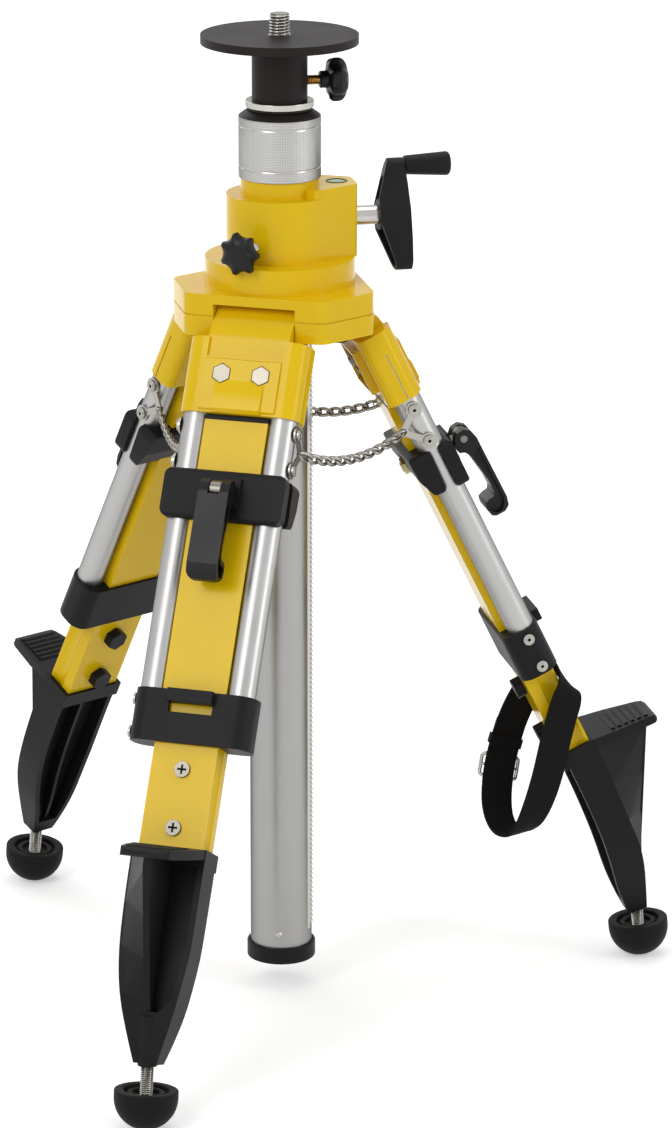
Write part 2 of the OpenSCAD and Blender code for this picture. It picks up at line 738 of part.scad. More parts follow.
// Leg bracket: cast shell round the tops of both tubes, with the hinge barrel on its neck
bracket_r = tube_d / 2 + bracket_wall;
bracket_round = 8;
tube_seat = 2;
neck_side = 0.5;
neck_w = notch_w - 2 * neck_side;
pin_bite = 13.5;
pin_len = notch_w + 2 * pin_bite;
neck_shares = [[-1, 0], [0, 0], [0.71, 0.71], [1.7, -1.25], [1.7, -1.9], [-0.6, -1.9]];
panel_w = 60;
panel_h = 15;
panel_sink = 3;
panel_slope = 2.5;
pad_rise = 2.2;
boss_w = 38;
boss_s = 42;
boss_ramp = 10;
boss_rise = 2.2;
boss_end = 2.5;
panel_x = bracket_r - panel_sink;
pad_x = bracket_r + pad_rise;
boss_x = pad_x + boss_rise;
slit_s = 17;
slit_w = 0.9;
hex_s = 28.5;
hex_pitch = 31;
hex_flats = 13;
hex_gap = 1;
hex_sink = 4;
hex_proud = 0.6;
hex_shank_d = 6;
nut_block_t = 5.5;
nut_block_w = 50;
nut_block_s = 12;
nut_block_h = 37;
nut_wall = 2;
nut_t = 5;
washer_t = 1.5;

module leg_bracket(i) color(yellow) in_leg(i) difference() {
  union() {
    translate([0, 0, -bracket_h]) linear_extrude(bracket_h)
      shell_section(bracket_r, profile_in, bracket_round);
    side_plate(panel_w) polygon([
      [0, -panel_h], [panel_x, -panel_h], [pad_x, -panel_h - panel_slope],
      [pad_x, panel_slope - bracket_h], [panel_x, -bracket_h], [0, -bracket_h]
    ]);
    side_plate(boss_w) polygon([
      [0, boss_ramp - boss_s], [pad_x - seam, boss_ramp - boss_s], [boss_x, -boss_s],
      [boss_x, boss_end - bracket_h], [pad_x - seam, -bracket_h], [0, -bracket_h]
    ]);
    translate([-profile_in - nut_block_t, -nut_block_w / 2, -nut_block_s - nut_block_h])
      cube([nut_block_t + over, nut_block_w, nut_block_h]);
    translate([-tube_off, 0, bracket_drop]) {
      bar_y(barrel_d / 2, neck_w);
      side_plate(neck_w) polygon(sized(neck_shares, barrel_d / 2, barrel_d / 2));
    }
  }
  translate([panel_x, -panel_w / 2, -panel_h]) cube([panel_x, panel_w, panel_h + over]);
  both(tube_pitch / 2) translate([0, 0, -bracket_h - over])
    cylinder(h = bracket_h - tube_seat + over, d = tube_d + 2 * fit);
  for (side = [-1, 1])
    translate([-slit_w / 2, side > 0 ? tube_pitch / 2 : -tube_pitch / 2 - tube_pitch, -bracket_h - over])
      cube([slit_w, tube_pitch, bracket_h - slit_s + over]);
  translate([-tube_off, 0, bracket_drop]) bar_y(pin_d / 2 + fit, neck_w + 2 * over);
  both(hex_pitch / 2) translate([0, 0, -hex_s]) {
    hex_x(hex_flats + hex_gap, pad_x - hex_sink, boss_x + over);
    bar_x(hex_shank_d / 2 + fit, -profile_in - nut_block_t - over, boss_x);
  }
  translate([-profile_in - nut_block_t, nut_wall - nut_block_w / 2, nut_wall - nut_block_s - nut_block_h])
    translate([-over, 0, 0])
      cube([nut_block_t + over, nut_block_w - 2 * nut_wall, nut_block_h - 2 * nut_wall]);
}

module leg_tubes(i) color(alloy) in_leg(i) both(tube_pitch / 2)
  translate([0, 0, -tube_end_s]) difference() {
    cylinder(h = tube_end_s - tube_seat - gap, d = tube_d);
    translate([0, 0, -over]) cylinder(h = tube_end_s, d = tube_d - 2 * tube_wall);
  }

// Lower collar: holds the tube ends and guides the inner leg
collar_wall = 2.3;
collar_in = 2.6;
collar_round = 12;
collar_foot = 2;
collar_r = tube_d / 2 + collar_wall;
slide_gap = 0.35;
tube_end_s = lower_collar_end_s - collar_foot;
lip_w = 36;
lip_rise = 6.5;
lip_h = 10;
window_w = 34;
window_h = 7;
module leg_collar(i) color(black) in_leg(i) difference() {
  translate([0, 0, -lower_collar_end_s]) union() {
    linear_extrude(lower_collar_h) shell_section(collar_r, profile_in + collar_in, collar_round);
    translate([0, -lip_w / 2, lower_collar_h - lip_h]) cube([collar_r + lip_rise, lip_w, lip_h]);
  }
  translate([-profile_in - slide_gap, -profile_w / 2 - slide_gap, -lower_collar_end_s - over])
    cube([profile_in + profile_out + 2 * slide_gap, profile_w + 2 * slide_gap, lower_collar_h + 2 * over]);
  both(tube_pitch / 2) translate([0, 0, -tube_end_s]) cylinder(h = lower_collar_h, d = tube_d + 2 * fit);
  translate([0, -window_w / 2, -lower_collar_s - lip_h - window_h])
    cube([collar_r + lip_rise, window_w, window_h]);
}

// Chain plates: a V of strip riveted to each tube's outer side, with the chain's hole at its point
plate_seat = 0.1;
chain_plate_t = 1.6;
chain_plate_y = tube_pitch / 2 + tube_d / 2 + plate_seat + chain_plate_t / 2;
eye_d = 13;
v_strip_w = 5.5;
apex_in = 15;
apex_lift = 1.6;
apex_s = (rivet_s + rivet_end_s) / 2 - apex_lift;
chain_hole_d = 5.2;
chain_rim = 1.1;
rivet_d = 4.4;
rivet_head_d = 9;
rivet_head_t = 2;
module leg_chain_plates(i) color(steel) in_leg(i) both(chain_plate_y)
  side_plate(chain_plate_t) difference() {
    union() {
      for (s = [rivet_s, rivet_end_s]) {
        translate([0, -s]) circle(d = eye_d);
        strip([0, -s], [-apex_in, -apex_s], v_strip_w);
      }
      translate([-apex_in, -apex_s]) circle(d = chain_hole_d + 2 * chain_rim);
    }
    translate([-apex_in, -apex_s]) circle(d = chain_hole_d);
    for (s = [rivet_s, rivet_end_s]) translate([0, -s]) circle(d = rivet_d + 2 * fit);
  }

collar_rivet_drop = 8;
collar_rivet_pitch = 25;
// Hinge pin, bracket bolts with their nuts, and the rivets of chain plates and collar
module leg_fasteners(i) color(steel) in_leg(i) {
  translate([-tube_off, 0, bracket_drop]) bar_y(pin_d / 2, pin_len);
  both(hex_pitch / 2) translate([0, 0, -hex_s]) {
    hex_x(hex_flats, pad_x - hex_sink, pad_x + hex_proud);
    bar_x(hex_shank_d / 2, -profile_in - nut_t - washer_t, pad_x);
    hex_x(hex_flats, -profile_in - nut_t, -profile_in);
  }
  for (side = [-1, 1], s = [rivet_s, rivet_end_s]) translate([0, side * chain_plate_y, -s]) {
    bar_y(rivet_d / 2, chain_plate_t);
    translate([0, side * (chain_plate_t + rivet_head_t) / 2, 0]) bar_y(rivet_head_d / 2, rivet_head_t);
  }
  for (k = [0, 1])
    translate([
      0, -tube_pitch / 2 - collar_r - rivet_head_t / 2,
      -lower_collar_s - collar_rivet_drop - k * collar_rivet_pitch
    ])
      bar_y(rivet_head_d / 2, rivet_head_t);
}

// Inner leg: a hollow profile with a groove along each side for the tubes
profile_hollow = tube_pitch / 2 - tube_d / 2 - slide_gap - profile_wall;
screw_drop = 19;
screw_pitch = 44;
screw_s = [for (k = [0, 1]) lower_collar_end_s + screw_drop + k * screw_pitch];
cross_d = 6;
module profile_section() difference() {
  translate([-profile_in, -profile_w / 2]) square([profile_in + profile_out, profile_w]);
  tube_grooves();
}
module tube_grooves()
  for (side = [-1, 1]) translate([0, side * tube_pitch / 2]) circle(tube_d / 2 + slide_gap);
module hollow_section(clear)
  translate([profile_wall - profile_in + clear, clear - profile_hollow])
    square([profile_in + profile_out - 2 * profile_wall - 2 * clear, 2 * (profile_hollow - clear)]);

module leg_inner(i) color(yellow) in_leg(i) difference() {
  translate([0, 0, -profile_end_s]) linear_extrude(profile_end_s - profile_s) difference() {
    profile_section();
    hollow_section(0);
  }
  translate([0, 0, -bolt_s]) bar_x(bolt_d / 2 + fit, -profile_in - over, profile_out + over);
  for (s = screw_s) translate([0, 0, -s]) bar_x(cross_d / 2 + fit, -profile_in - over, profile_out + over);
}

// Clamp: an outer and an inner jaw across both tubes, with the black caps of the inner leg
jaw_lip = 4;
seat_rise = 3.5;
seat_w = 28;
seat_share = 0.3;
jaw_x = profile_out + jaw_t;
jaw_round = 4;
jaw_corner = 7;
inner_jaw_round = 3;
inner_jaw_shares = [[-1, 0], [-0.95, 0.5], [-0.68, 0.9], [-0.23, 0.95], [-0.16, 0.03]];
nut_room = 10.5;
nut_sink = 1.8;
bolt_flats = 13;
bolt_nut_t = 6;
cap_nut_flats = 15.5;
cap_nut_t = 8;
cap_nut_bore = 2;
end_plug = 10;
module leg_clamp(i) color(black) in_leg(i) {
  difference() {
    union() {
      intersection() {
        side_plate(clamp_w) polygon(rounded([
          [jaw_lip, -clamp_s], [jaw_x, -clamp_s], [jaw_x, -clamp_end_s], [jaw_lip, -clamp_end_s]
        ], jaw_round));
        jaw_face();
      }
      translate([profile_out, -seat_w / 2, -bolt_s - clamp_h * seat_share])
        cube([jaw_t + seat_rise, seat_w, 2 * clamp_h * seat_share]);
    }
    jaw_cuts();
  }
  difference() {
    intersection() {
      translate([0, 0, -clamp_s]) side_plate(clamp_w)
        polygon(rounded(sized(inner_jaw_shares, profile_in + jaw_t, -clamp_h), inner_jaw_round));
      jaw_face();
    }
    jaw_cuts();
    translate([0, 0, -bolt_s]) bar_x(nut_room, -profile_in - 2 * jaw_t, -profile_in - nut_sink);
  }
  translate([0, 0, -profile_s]) linear_extrude(end_cap_t) profile_section();
  translate([0, 0, -profile_s - end_plug]) linear_extrude(end_plug + over) hollow_section(fit);
  for (s = screw_s) translate([0, 0, -s]) difference() {
    hex_x(cap_nut_flats, -profile_in - cap_nut_t, -profile_in);
    bar_x(cross_d / 2 + fit, -profile_in - cap_nut_bore, 0);
  }
}
module jaw_face()
  front_plate(-clamp_w, clamp_w) polygon(rounded([
    for (p = [[-1, 0], [1, 0], [1, 1], [-1, 1]]) [p.x * clamp_w / 2, -clamp_s - p.y * clamp_h]
  ], jaw_corner));
module jaw_cuts() {
  translate([0, 0, -clamp_end_s - over]) linear_extrude(clamp_h + 2 * over) {
    tube_grooves();
    translate([-profile_in, -profile_w / 2]) square([profile_in + profile_out, profile_w]);
  }
  translate([0, 0, -bolt_s]) bar_x(bolt_d / 2 + fit, -clamp_w, clamp_w);
}

// Lever: a forked eye on the clamp bolt's pin, an arm hollowed at its sides and a hooked tip
lever_x = jaw_x + lever_stand;
fork_w = 8.4;
fork_room = 3.2;
bolt_eye_d = 14;
lever_pin_d = 6;
lever_round = 1.8;
lever_corner = 5;
lever_shares = [
  [-0.2, -0.1], [0.2, -0.107], [0.5, -0.057], [0.63, 0.043], [0.64, 0.286], [0.68, 0.83], [0.57, 0.93],
  [0.23, 0.993], [-0.17, 1], [-0.47, 0.95], [-0.57, 0.857], [-0.5, 0.786], [-0.23, 0.764], [0.067, 0.757],
  [0.21, 0.707], [0.19, 0.571], [0.033, 0.357], [-0.1, 0.2], [-0.27, 0.143], [-0.56, 0.114],
  [-0.58, 0.029], [-0.47, -0.043]
];
hollow_shares = [
  [0.47, 0.16], [0.5, 0.81], [0.42, 0.885], [0.17, 0.945], [-0.13, 0.955], [-0.34, 0.915], [-0.41, 0.855],
  [-0.36, 0.825], [0.13, 0.81], [0.36, 0.72], [0.35, 0.571], [0.2, 0.34], [0.12, 0.2]
];
rib_sink = 4;
module leg_lever(i) color(black) in_leg(i) translate([lever_x, 0, -bolt_s]) difference() {
  intersection() {
    side_plate(lever_w) polygon(rounded(down(lever_shares), lever_round));
    front_plate(-lever_len, lever_len) polygon(rounded([
      for (p = [[-1, -1], [1, -1], [1, 1], [-1, 1]]) [p.x * lever_w / 2, p.y * lever_len]
    ], lever_corner));
  }
  bar_y(lever_eye_d / 2 + fork_room, fork_w + 2 * gap);
  bar_y(lever_pin_d / 2 + fit, lever_w + 2 * over);
  both(lever_w / 2) side_plate(2 * rib_sink) polygon(down(hollow_shares));
}
function down(shares) = [for (p = shares) [p.x * lever_eye_d, -p.y * lever_len]];

// Clamp bolt with its nut, the lever's pin and the cross-head screws of the inner leg
cross_head_d = 12;
cross_head_t = 2.2;
cross_slot_l = 7;
cross_slot_w = 1.4;
cross_slot_depth = 1.2;
pin_inset = 0.5;
module leg_screws(i) color(steel) in_leg(i) {
  translate([0, 0, -bolt_s]) {
    difference() {
      union() {
        bar_x(bolt_d / 2, -profile_in - nut_sink - bolt_nut_t - over, lever_x);
        translate([lever_x, 0, 0]) bar_y(bolt_eye_d / 2, fork_w);
        hex_x(bolt_flats, -profile_in - nut_sink - bolt_nut_t, -profile_in - nut_sink);
      }
      translate([lever_x, 0, 0]) bar_y(lever_pin_d / 2 + fit, fork_w + 2 * over);
    }
    translate([lever_x, 0, 0]) bar_y(lever_pin_d / 2, lever_w - 2 * pin_inset);
  }
  for (s = screw_s) translate([0, 0, -s]) difference() {
    union() {
      bar_x(cross_d / 2, -profile_in - cap_nut_bore + gap, profile_out + over);
      bar_x(cross_head_d / 2, profile_out, profile_out + cross_head_t);
    }
    for (turn = [0, 90])
      translate([profile_out + cross_head_t, 0, 0]) rotate([turn, 0, 0])
        cube([2 * cross_slot_depth, cross_slot_l, cross_slot_w], center = true);
  }
}

// Shoe: a cast beam with a socket for the inner leg, two curved walls, a floor between them, a web that
// carries the tread, a cheek that closes one side of the web and a boss for the foot's screw
socket_wall = 2.5;
socket_h = 13;
shoe_wall = 4.5;
shoe_out_shares = [
  [0.172, 0.05], [0.17, 0.225], [0.14, 0.48], [0.12, 0.64], [0.062, 0.7625], [-0.03, 0.89], [-0.115, 1]
];
shoe_in_shares = [
  [-0.345, 0.985], [-0.35, 0.925], [-0.336, 0.79], [-0.266, 0.575], [-0.231, 0.344], [-0.222, 0.08]
];
shoe_front_shares = [[1, 0], [0.99, 0.25], [0.95, 0.49], [0.78, 0.7], [0.55, 0.86], [0.31, 1]];
floor_shares = [[0.03, 0.03], [0, 0.48], [-0.06, 0.7], [-0.17, 0.92]];
floor_t = 3.5;
recess_front_shares = [[0, 0.05], [1, 0.05], [1, 0.62], [0.28, 0.765], [0, 0.765]];
pocket_front_shares = [[-1, 0.085], [1, 0.085], [1, 0.91], [-1, 0.91]];
web_shares = [[0.1, 0], [0.87, 0.09], [0.85, 0.15], [0.136, 0.725], [0.06, 0.76]];
tread_shares = [
  [0.157, 0], [0.9, 0.058], [0.963, 0.066], [0.995, 0.08], [0.99, 0.098], [0.95, 0.106], [0.88, 0.101],
  [0.157, 0.045]
];
tread_plan_shares = [[0.1, 1], [0.5, 0.9], [0.9, 0.7], [0.97, 0.65], [1.01, 0.54]];
web_t = 5;

// Cheek, by rows: the web's edge and its height, the wall's edge, its half width and its height
cheek_shares = [
  [0.895, 0.085, 0.165, 0.98, 0.03], [0.85, 0.15, 0.165, 0.98, 0.12], [0.6, 0.352, 0.163, 0.97, 0.27],
  [0.37, 0.537, 0.135, 0.935, 0.48], [0.136, 0.725, 0.085, 0.76, 0.7]
];
cheek_set = 1;
inner_rib_t = 3;
inner_rib_sink = 3;
rod_boss_d = 15;
rod_depth = 40;
rod_boss_h = 38;
ribs = 6;
rib_at_shares = [0.4, 0.97];
rib_d = 5;
rib_bed = 1.2;
rib_w_share = 0.8;
function shoe_side(shares) = [for (p = shares) [p.x * tread_reach, -p.y * shoe_h]];
function flipped(pts) = [for (i = [len(pts) - 1 : -1 : 0]) [-pts[i].x, pts[i].y]];
function mirrored(pts) = concat(pts, flipped(pts));
function turned_back(pts) = [for (i = [len(pts) - 1 : -1 : 0]) pts[i]];

// Front outline of the shoe, drawn in by a wall
module shoe_front(wall)
  front_plate(-shoe_h, shoe_h)
    polygon(mirrored([for (p = curve(shoe_front_shares)) [p.x * shoe_w / 2 - wall, -p.y * shoe_h]]));

// Room on one side of the floor, within an outline of the front
module shoe_room(front, back, reach)
  intersection() {
    side_plate(shoe_w) polygon(concat(
      [for (p = shoe_side(curve(floor_shares))) p - [back, 0]],
      shoe_side([[reach, floor_shares[3].y], [reach, floor_shares[0].y]])
    ));
    shoe_front(shoe_wall);
    front_plate(-shoe_h, shoe_h) polygon(sized(front, shoe_w / 2, -shoe_h));
  }

// Solid between the web and a wall, with a ruled face from edge to edge
module shoe_cheek() {
  last = len(cheek_shares) - 1;
  polyhedron(
    [
      for (c = cheek_shares) each [
        [c[0] * tread_reach - cheek_set, cheek_set - web_t / 2, -c[1] * shoe_h],
        [c[2] * tread_reach, -c[3] * shoe_w / 2, -c[4] * shoe_h],
        [0, -c[3] * shoe_w / 2, -c[4] * shoe_h],
        [0, cheek_set - web_t / 2, -c[1] * shoe_h]
      ]
    ],
    concat(
      [[0, 1, 2, 3], [for (j = [3:-1:0]) 4 * last + j]],
      [
        for (k = [0:last - 1], j = [0:3])
          let (a = 4 * k + j, b = 4 * k + (j + 1) % 4)
          each [[a, a + 4, b + 4], [a, b + 4, b]]
      ]
    )
  );
}

module leg_shoe(i) color(black) in_leg(i) difference() {
  union() {
    translate([0, 0, -shoe_s]) {
      difference() {
        intersection() {
          side_plate(shoe_w) polygon(concat(
            shoe_side(curve(shoe_out_shares)), shoe_side(curve(shoe_in_shares))
          ));
          shoe_front(0);
        }
        shoe_room(recess_front_shares, 0, 1);
        shoe_room(pocket_front_shares, floor_t, -1);
      }
      translate([-profile_in - socket_wall, -shoe_w / 2, -socket_h])
        cube([profile_in + profile_out + 2 * socket_wall, shoe_w, socket_h]);
      side_plate(web_t) polygon(shoe_side(concat(web_shares, turned_back(floor_shares))));
      shoe_cheek();
      side_plate(inner_rib_t) polygon(concat(
        shoe_side(curve(floor_shares)),
        [for (p = shoe_side(curve(shoe_in_shares))) p + [inner_rib_sink, 0]]
      ));
      intersection() {
        side_plate(2 * shoe_w) polygon(shoe_side(tread_shares));
        translate([0, 0, -shoe_h]) linear_extrude(2 * shoe_h)
          polygon(mirrored_plan([for (p = tread_plan_shares) [p.x * tread_reach, p.y * shoe_w / 2]]));
      }
      for (k = [0:ribs - 1])
        let (u = rib_at_shares[0] + (rib_at_shares[1] - rib_at_shares[0]) * k / (ribs - 1))
        let (p = shoe_side([tread_shares[0] * (1 - u) + tread_shares[1] * u])[0])
        translate([p.x, 0, p.y - rib_bed])
          bar_y(rib_d / 2, rib_w_share * shoe_w * (1 - u * (1 - tread_plan_shares[2].y)));
    }
    in_foot() translate([0, 0, foot_drop / cos(foot_tilt)]) cylinder(h = rod_boss_h, d = rod_boss_d);
  }
  translate([-profile_in - fit, -profile_w / 2 - fit, -shoe_s - socket_depth])
    cube([profile_in + profile_out + 2 * fit, profile_w + 2 * fit, socket_depth + over]);
  in_foot() translate([0, 0, -foot_d]) cylinder(h = foot_d + foot_clear + rod_depth, d = rod_d + 2 * fit);
  in_foot() translate([0, 0, foot_clear - foot_d]) cylinder(h = foot_d, d = foot_d);
}
function mirrored_plan(pts) = concat(pts, [for (p = turned_back(pts)) [p.x, -p.y]]);

// Feet: a ball on a screw that stands at a tilt to the leg, screwed out until the foot meets the floor
foot_drop = 19.4;
foot_s = shoe_s + shoe_h + foot_drop;
foot_in = 21.75;
foot_clear = 16;
foot_rim = 6;
rod_len = 46;
rod_root = 8;
function foot_drop_at(i, out) =
  let (th = leg_spread[i])
  (foot_s + bracket_drop) * cos(th) - (tube_off - foot_in) * sin(th) + out * cos(th - foot_tilt);
foot_out = [
  for (i = [0:2]) (foot_drop_at(0, foot_set) - foot_drop_at(i, 0)) / cos(leg_spread[i] - foot_tilt)
];
module in_foot() translate([-foot_in, 0, -foot_s]) rotate([0, foot_tilt, 0]) children();

module leg_rod(i) color(steel) in_leg(i) in_foot() translate([0, 0, -foot_out[i] - rod_root])
  cylinder(h = rod_len + rod_root, d = rod_d);

recess_shares = [[0.78, 0.5], [0.6, 0.25]];
module foot_outline() difference() {
  union() {
    intersection() {
      circle(foot_d / 2);
      translate([0, -foot_d / 2]) square([foot_d / 2, foot_d / 2 + fit]);
    }
    square([foot_d / 2, foot_rim]);
  }
  translate([-over, -rod_root - gap]) square([rod_d / 2 + fit + over, foot_d]);
  for (p = recess_shares) translate([-over, foot_rim * p.y]) square([foot_d / 2 * p.x + over, foot_d]);
}
module leg_foot(i) color(rubber) in_leg(i) in_foot() translate([0, 0, -foot_out[i]])
  rotate_extrude() foot_outline();

// Chains: links along a hanging curve from plate to plate, every other one turned on edge
link_play = 1.2;
link_inner_w = 3.6;
end_link_w = 6;
function chain_end(i, side) = leg_point(i, [-apex_in, side * chain_plate_y, -apex_s]);
function chain_at(a, b, u) = a + (b - a) * u - [0, 0, 4 * chain_sag * u * (1 - u)];

// Link of square wire, of the given length and width inside
module link(len, inner) linear_extrude(wire_d, center = true) difference() {
  link_outline(len + 2 * wire_d, inner + 2 * wire_d);
  link_outline(len, inner);
}
module link_outline(len, w) {
  square([len - w, w], center = true);
  for (side = [-1, 1]) translate([side * (len - w) / 2, 0]) circle(d = w);
}

module spread_chains() color(steel) for (i = [0:2]) {
  from = chain_end(i, 1);
  to = chain_end((i + 1) % 3, -1);
  pull = unit(to - from) * wire_d / 2;
  for (k = [0:links - 1]) {
    p = chain_at(from + pull, to - pull, k / links);
    q = chain_at(from + pull, to - pull, (k + 1) / links);
    d = q - p;
    translate((p + q) / 2) rotate([0, -asin(d.z / norm(d)), atan2(d.y, d.x)]) rotate([k % 2 * 90, 0, 0])
      link(norm(d) + link_play, k == 0 || k == links - 1 ? end_link_w : link_inner_w);
  }
}

// Carrying strap: a loop of webbing hung over the right inner leg, with a sliding buckle.
// Each row is a point of the middle line, in shares of its reach, half width and drop from the
// lower collar, and the way its face looks, in the leg's frame.
strap_leg = 1;
strap_in = 80;
strap_half = 32;
strap_drop = 124;
strap_shares = [
  [[0.1675, -0.375, 0.1613], [1, 0, 0]],
  [[0.1675, 0, 0.1411], [1, 0, 0]],
  [[0.1675, 0.375, 0.1532], [1, 0, 0]],
  [[0.165, 0.875, 0.1935], [0.7, 0.7, 0]],
  [[0.0312, 1, 0.2419], [0, 1, 0]],
  [[-0.175, 1, 0.3145], [0, 1, 0]],
  [[-0.375, 1, 0.4113], [0, 1, 0]],
  [[-0.5625, 0.9688, 0.5323], [0, 1, 0]],
  [[-0.75, 0.875, 0.6694], [-0.1, 0.95, -0.2]],
  [[-0.9125, 0.625, 0.8065], [-0.3, 0.8, -0.5]],
  [[-1, 0.2812, 0.9113], [-0.5, 0.45, -0.7]],
  [[-1, -0.0938, 0.9839], [-0.4, -0.1, -0.9]],
  [[-0.9125, -0.4062, 1], [0, -0.6, -0.8]],
  [[-0.775, -0.6875, 0.9355], [0.1, -0.9, -0.4]],
  [[-0.6, -0.8906, 0.8145], [0, -1, -0.2]],
  [[-0.4125, -1, 0.6694], [0, -1, 0]],
  [[-0.225, -1, 0.5161], [0, -1, 0]],
  [[-0.05, -1, 0.379], [0, -1, 0]],
  [[0.0813, -1.0125, 0.2823], [0.1, -1, 0]],
  [[0.1675, -0.8812, 0.2177], [0.7, -0.7, 0]]
];
function strap_point(k) =
  let (n = len(strap_shares), p = strap_shares[(k + n) % n][0])
  [p.x * strap_in, p.y * strap_half, -lower_collar_end_s - p.z * strap_drop];
function strap_tangent(k) = unit(strap_point(k + 1) - strap_point(k - 1));
function strap_side(k) = unit(cross(strap_tangent(k), strap_shares[k][1]));
function strap_face(k) = unit(cross(strap_side(k), strap_tangent(k)));
strap_corners = [[-1, -1], [1, -1], [1, 1], [-1, 1]];

module strap() color(black) in_leg(strap_leg) {
  n = len(strap_shares);
  polyhedron(
    points = [
      for (k = [0:n - 1], c = strap_corners)
        strap_point(k) + strap_side(k) * c.x * strap_w / 2 + strap_face(k) * c.y * strap_t / 2
    ],
    faces = [
      for (k = [0:n - 1], j = [0:3])
        let (ring = 4 * k, ahead = 4 * ((k + 1) % n), next = (j + 1) % 4)
        each [[ring + j, ahead + next, ring + next], [ring + j, ahead + j, ahead + next]]
    ]
  );
}

buckle_k = 8;
buckle_l = 14;
buckle_wall = 3;
buckle_room = 2;
module strap_buckle() color(black) in_leg(strap_leg)
  multmatrix(
    let (t = strap_tangent(buckle_k), u = strap_side(buckle_k), v = strap_face(buckle_k))
    [for (r = [0:2]) [t[r], u[r], v[r], strap_point(buckle_k)[r]]]
  )
    difference() {
      cube([buckle_l, strap_w + 2 * buckle_wall + buckle_room, strap_t + 2 * buckle_wall], center = true);
      cube([buckle_l + 2 * over, strap_w + buckle_room, strap_t + 2 * buckle_room], center = true);
    }

// The pieces of each leg
module front_bracket() leg_bracket(0);
module front_tubes() leg_tubes(0);
module front_collar() leg_collar(0);
module front_fasteners() leg_fasteners(0);
module front_chain_plates() leg_chain_plates(0);
module front_inner_leg() leg_inner(0);
module front_clamp() leg_clamp(0);
module front_lever() leg_lever(0);
module front_screws() leg_screws(0);
module front_shoe() leg_shoe(0);
module front_spindle() leg_rod(0);
module front_foot() leg_foot(0);
module right_bracket() leg_bracket(1);
module right_tubes() leg_tubes(1);
module right_collar() leg_collar(1);
module right_fasteners() leg_fasteners(1);
module right_chain_plates() leg_chain_plates(1);
module right_inner_leg() leg_inner(1);
module right_clamp() leg_clamp(1);
module right_lever() leg_lever(1);
module right_screws() leg_screws(1);
module right_shoe() leg_shoe(1);
module right_spindle() leg_rod(1);
module right_foot() leg_foot(1);
module left_bracket() leg_bracket(2);
module left_tubes() leg_tubes(2);
module left_collar() leg_collar(2);
module left_fasteners() leg_fasteners(2);
module left_chain_plates() leg_chain_plates(2);
module left_inner_leg() leg_inner(2);
module left_clamp() leg_clamp(2);
module left_lever() leg_lever(2);
module left_screws() leg_screws(2);
module left_shoe() leg_shoe(2);
module left_spindle() leg_rod(2);
module left_foot() leg_foot(2);

head_plate();
hinge_ring();
head_screws();
gear_housing();
column_bushes();
level_vial();
crank_shaft();
crank_arm();
crank_grip();
gear_shaft();
lock_knob();
column_tube();
column_rack();
column_cap();
column_head();
fine_sleeve();
platform_spindle();
platform();
mounting_stud();
platform_knob();
spread_chains();
strap();
strap_buckle();
front_bracket();
front_tubes();
front_collar();
front_fasteners();
front_chain_plates();
front_inner_leg();
front_clamp();
front_lever();
front_screws();
front_shoe();
front_spindle();
front_foot();
right_bracket();
right_tubes();
right_collar();
right_fasteners();
right_chain_plates();
right_inner_leg();
right_clamp();
right_lever();
right_screws();
right_shoe();
right_spindle();
right_foot();
left_bracket();
left_tubes();
left_collar();
left_fasteners();
left_chain_plates();
left_inner_leg();
left_clamp();
left_lever();
left_screws();
left_shoe();
left_spindle();
left_foot();
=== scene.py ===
import json
import math

import bmesh
import bpy
from mathutils import Matrix, Vector

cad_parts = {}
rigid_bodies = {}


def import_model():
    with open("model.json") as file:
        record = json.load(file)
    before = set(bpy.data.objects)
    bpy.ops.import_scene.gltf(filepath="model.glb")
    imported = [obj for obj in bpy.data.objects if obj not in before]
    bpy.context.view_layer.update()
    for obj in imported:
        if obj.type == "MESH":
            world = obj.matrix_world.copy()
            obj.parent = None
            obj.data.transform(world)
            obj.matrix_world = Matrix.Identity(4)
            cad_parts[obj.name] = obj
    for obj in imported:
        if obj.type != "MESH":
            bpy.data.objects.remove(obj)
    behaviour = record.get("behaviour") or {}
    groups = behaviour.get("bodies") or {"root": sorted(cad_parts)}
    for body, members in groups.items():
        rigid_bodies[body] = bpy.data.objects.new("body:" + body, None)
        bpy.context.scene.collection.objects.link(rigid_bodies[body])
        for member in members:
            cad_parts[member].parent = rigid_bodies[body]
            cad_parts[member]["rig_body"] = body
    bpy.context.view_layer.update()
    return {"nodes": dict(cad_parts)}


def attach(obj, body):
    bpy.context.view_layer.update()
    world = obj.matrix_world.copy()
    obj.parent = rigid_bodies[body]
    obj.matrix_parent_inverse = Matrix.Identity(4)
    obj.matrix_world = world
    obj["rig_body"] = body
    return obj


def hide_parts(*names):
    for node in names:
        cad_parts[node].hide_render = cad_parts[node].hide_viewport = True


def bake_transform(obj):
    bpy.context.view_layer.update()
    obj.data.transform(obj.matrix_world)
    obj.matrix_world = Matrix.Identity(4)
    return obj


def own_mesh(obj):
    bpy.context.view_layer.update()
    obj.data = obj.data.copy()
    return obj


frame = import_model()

MM = 0.001
NODES = frame["nodes"]

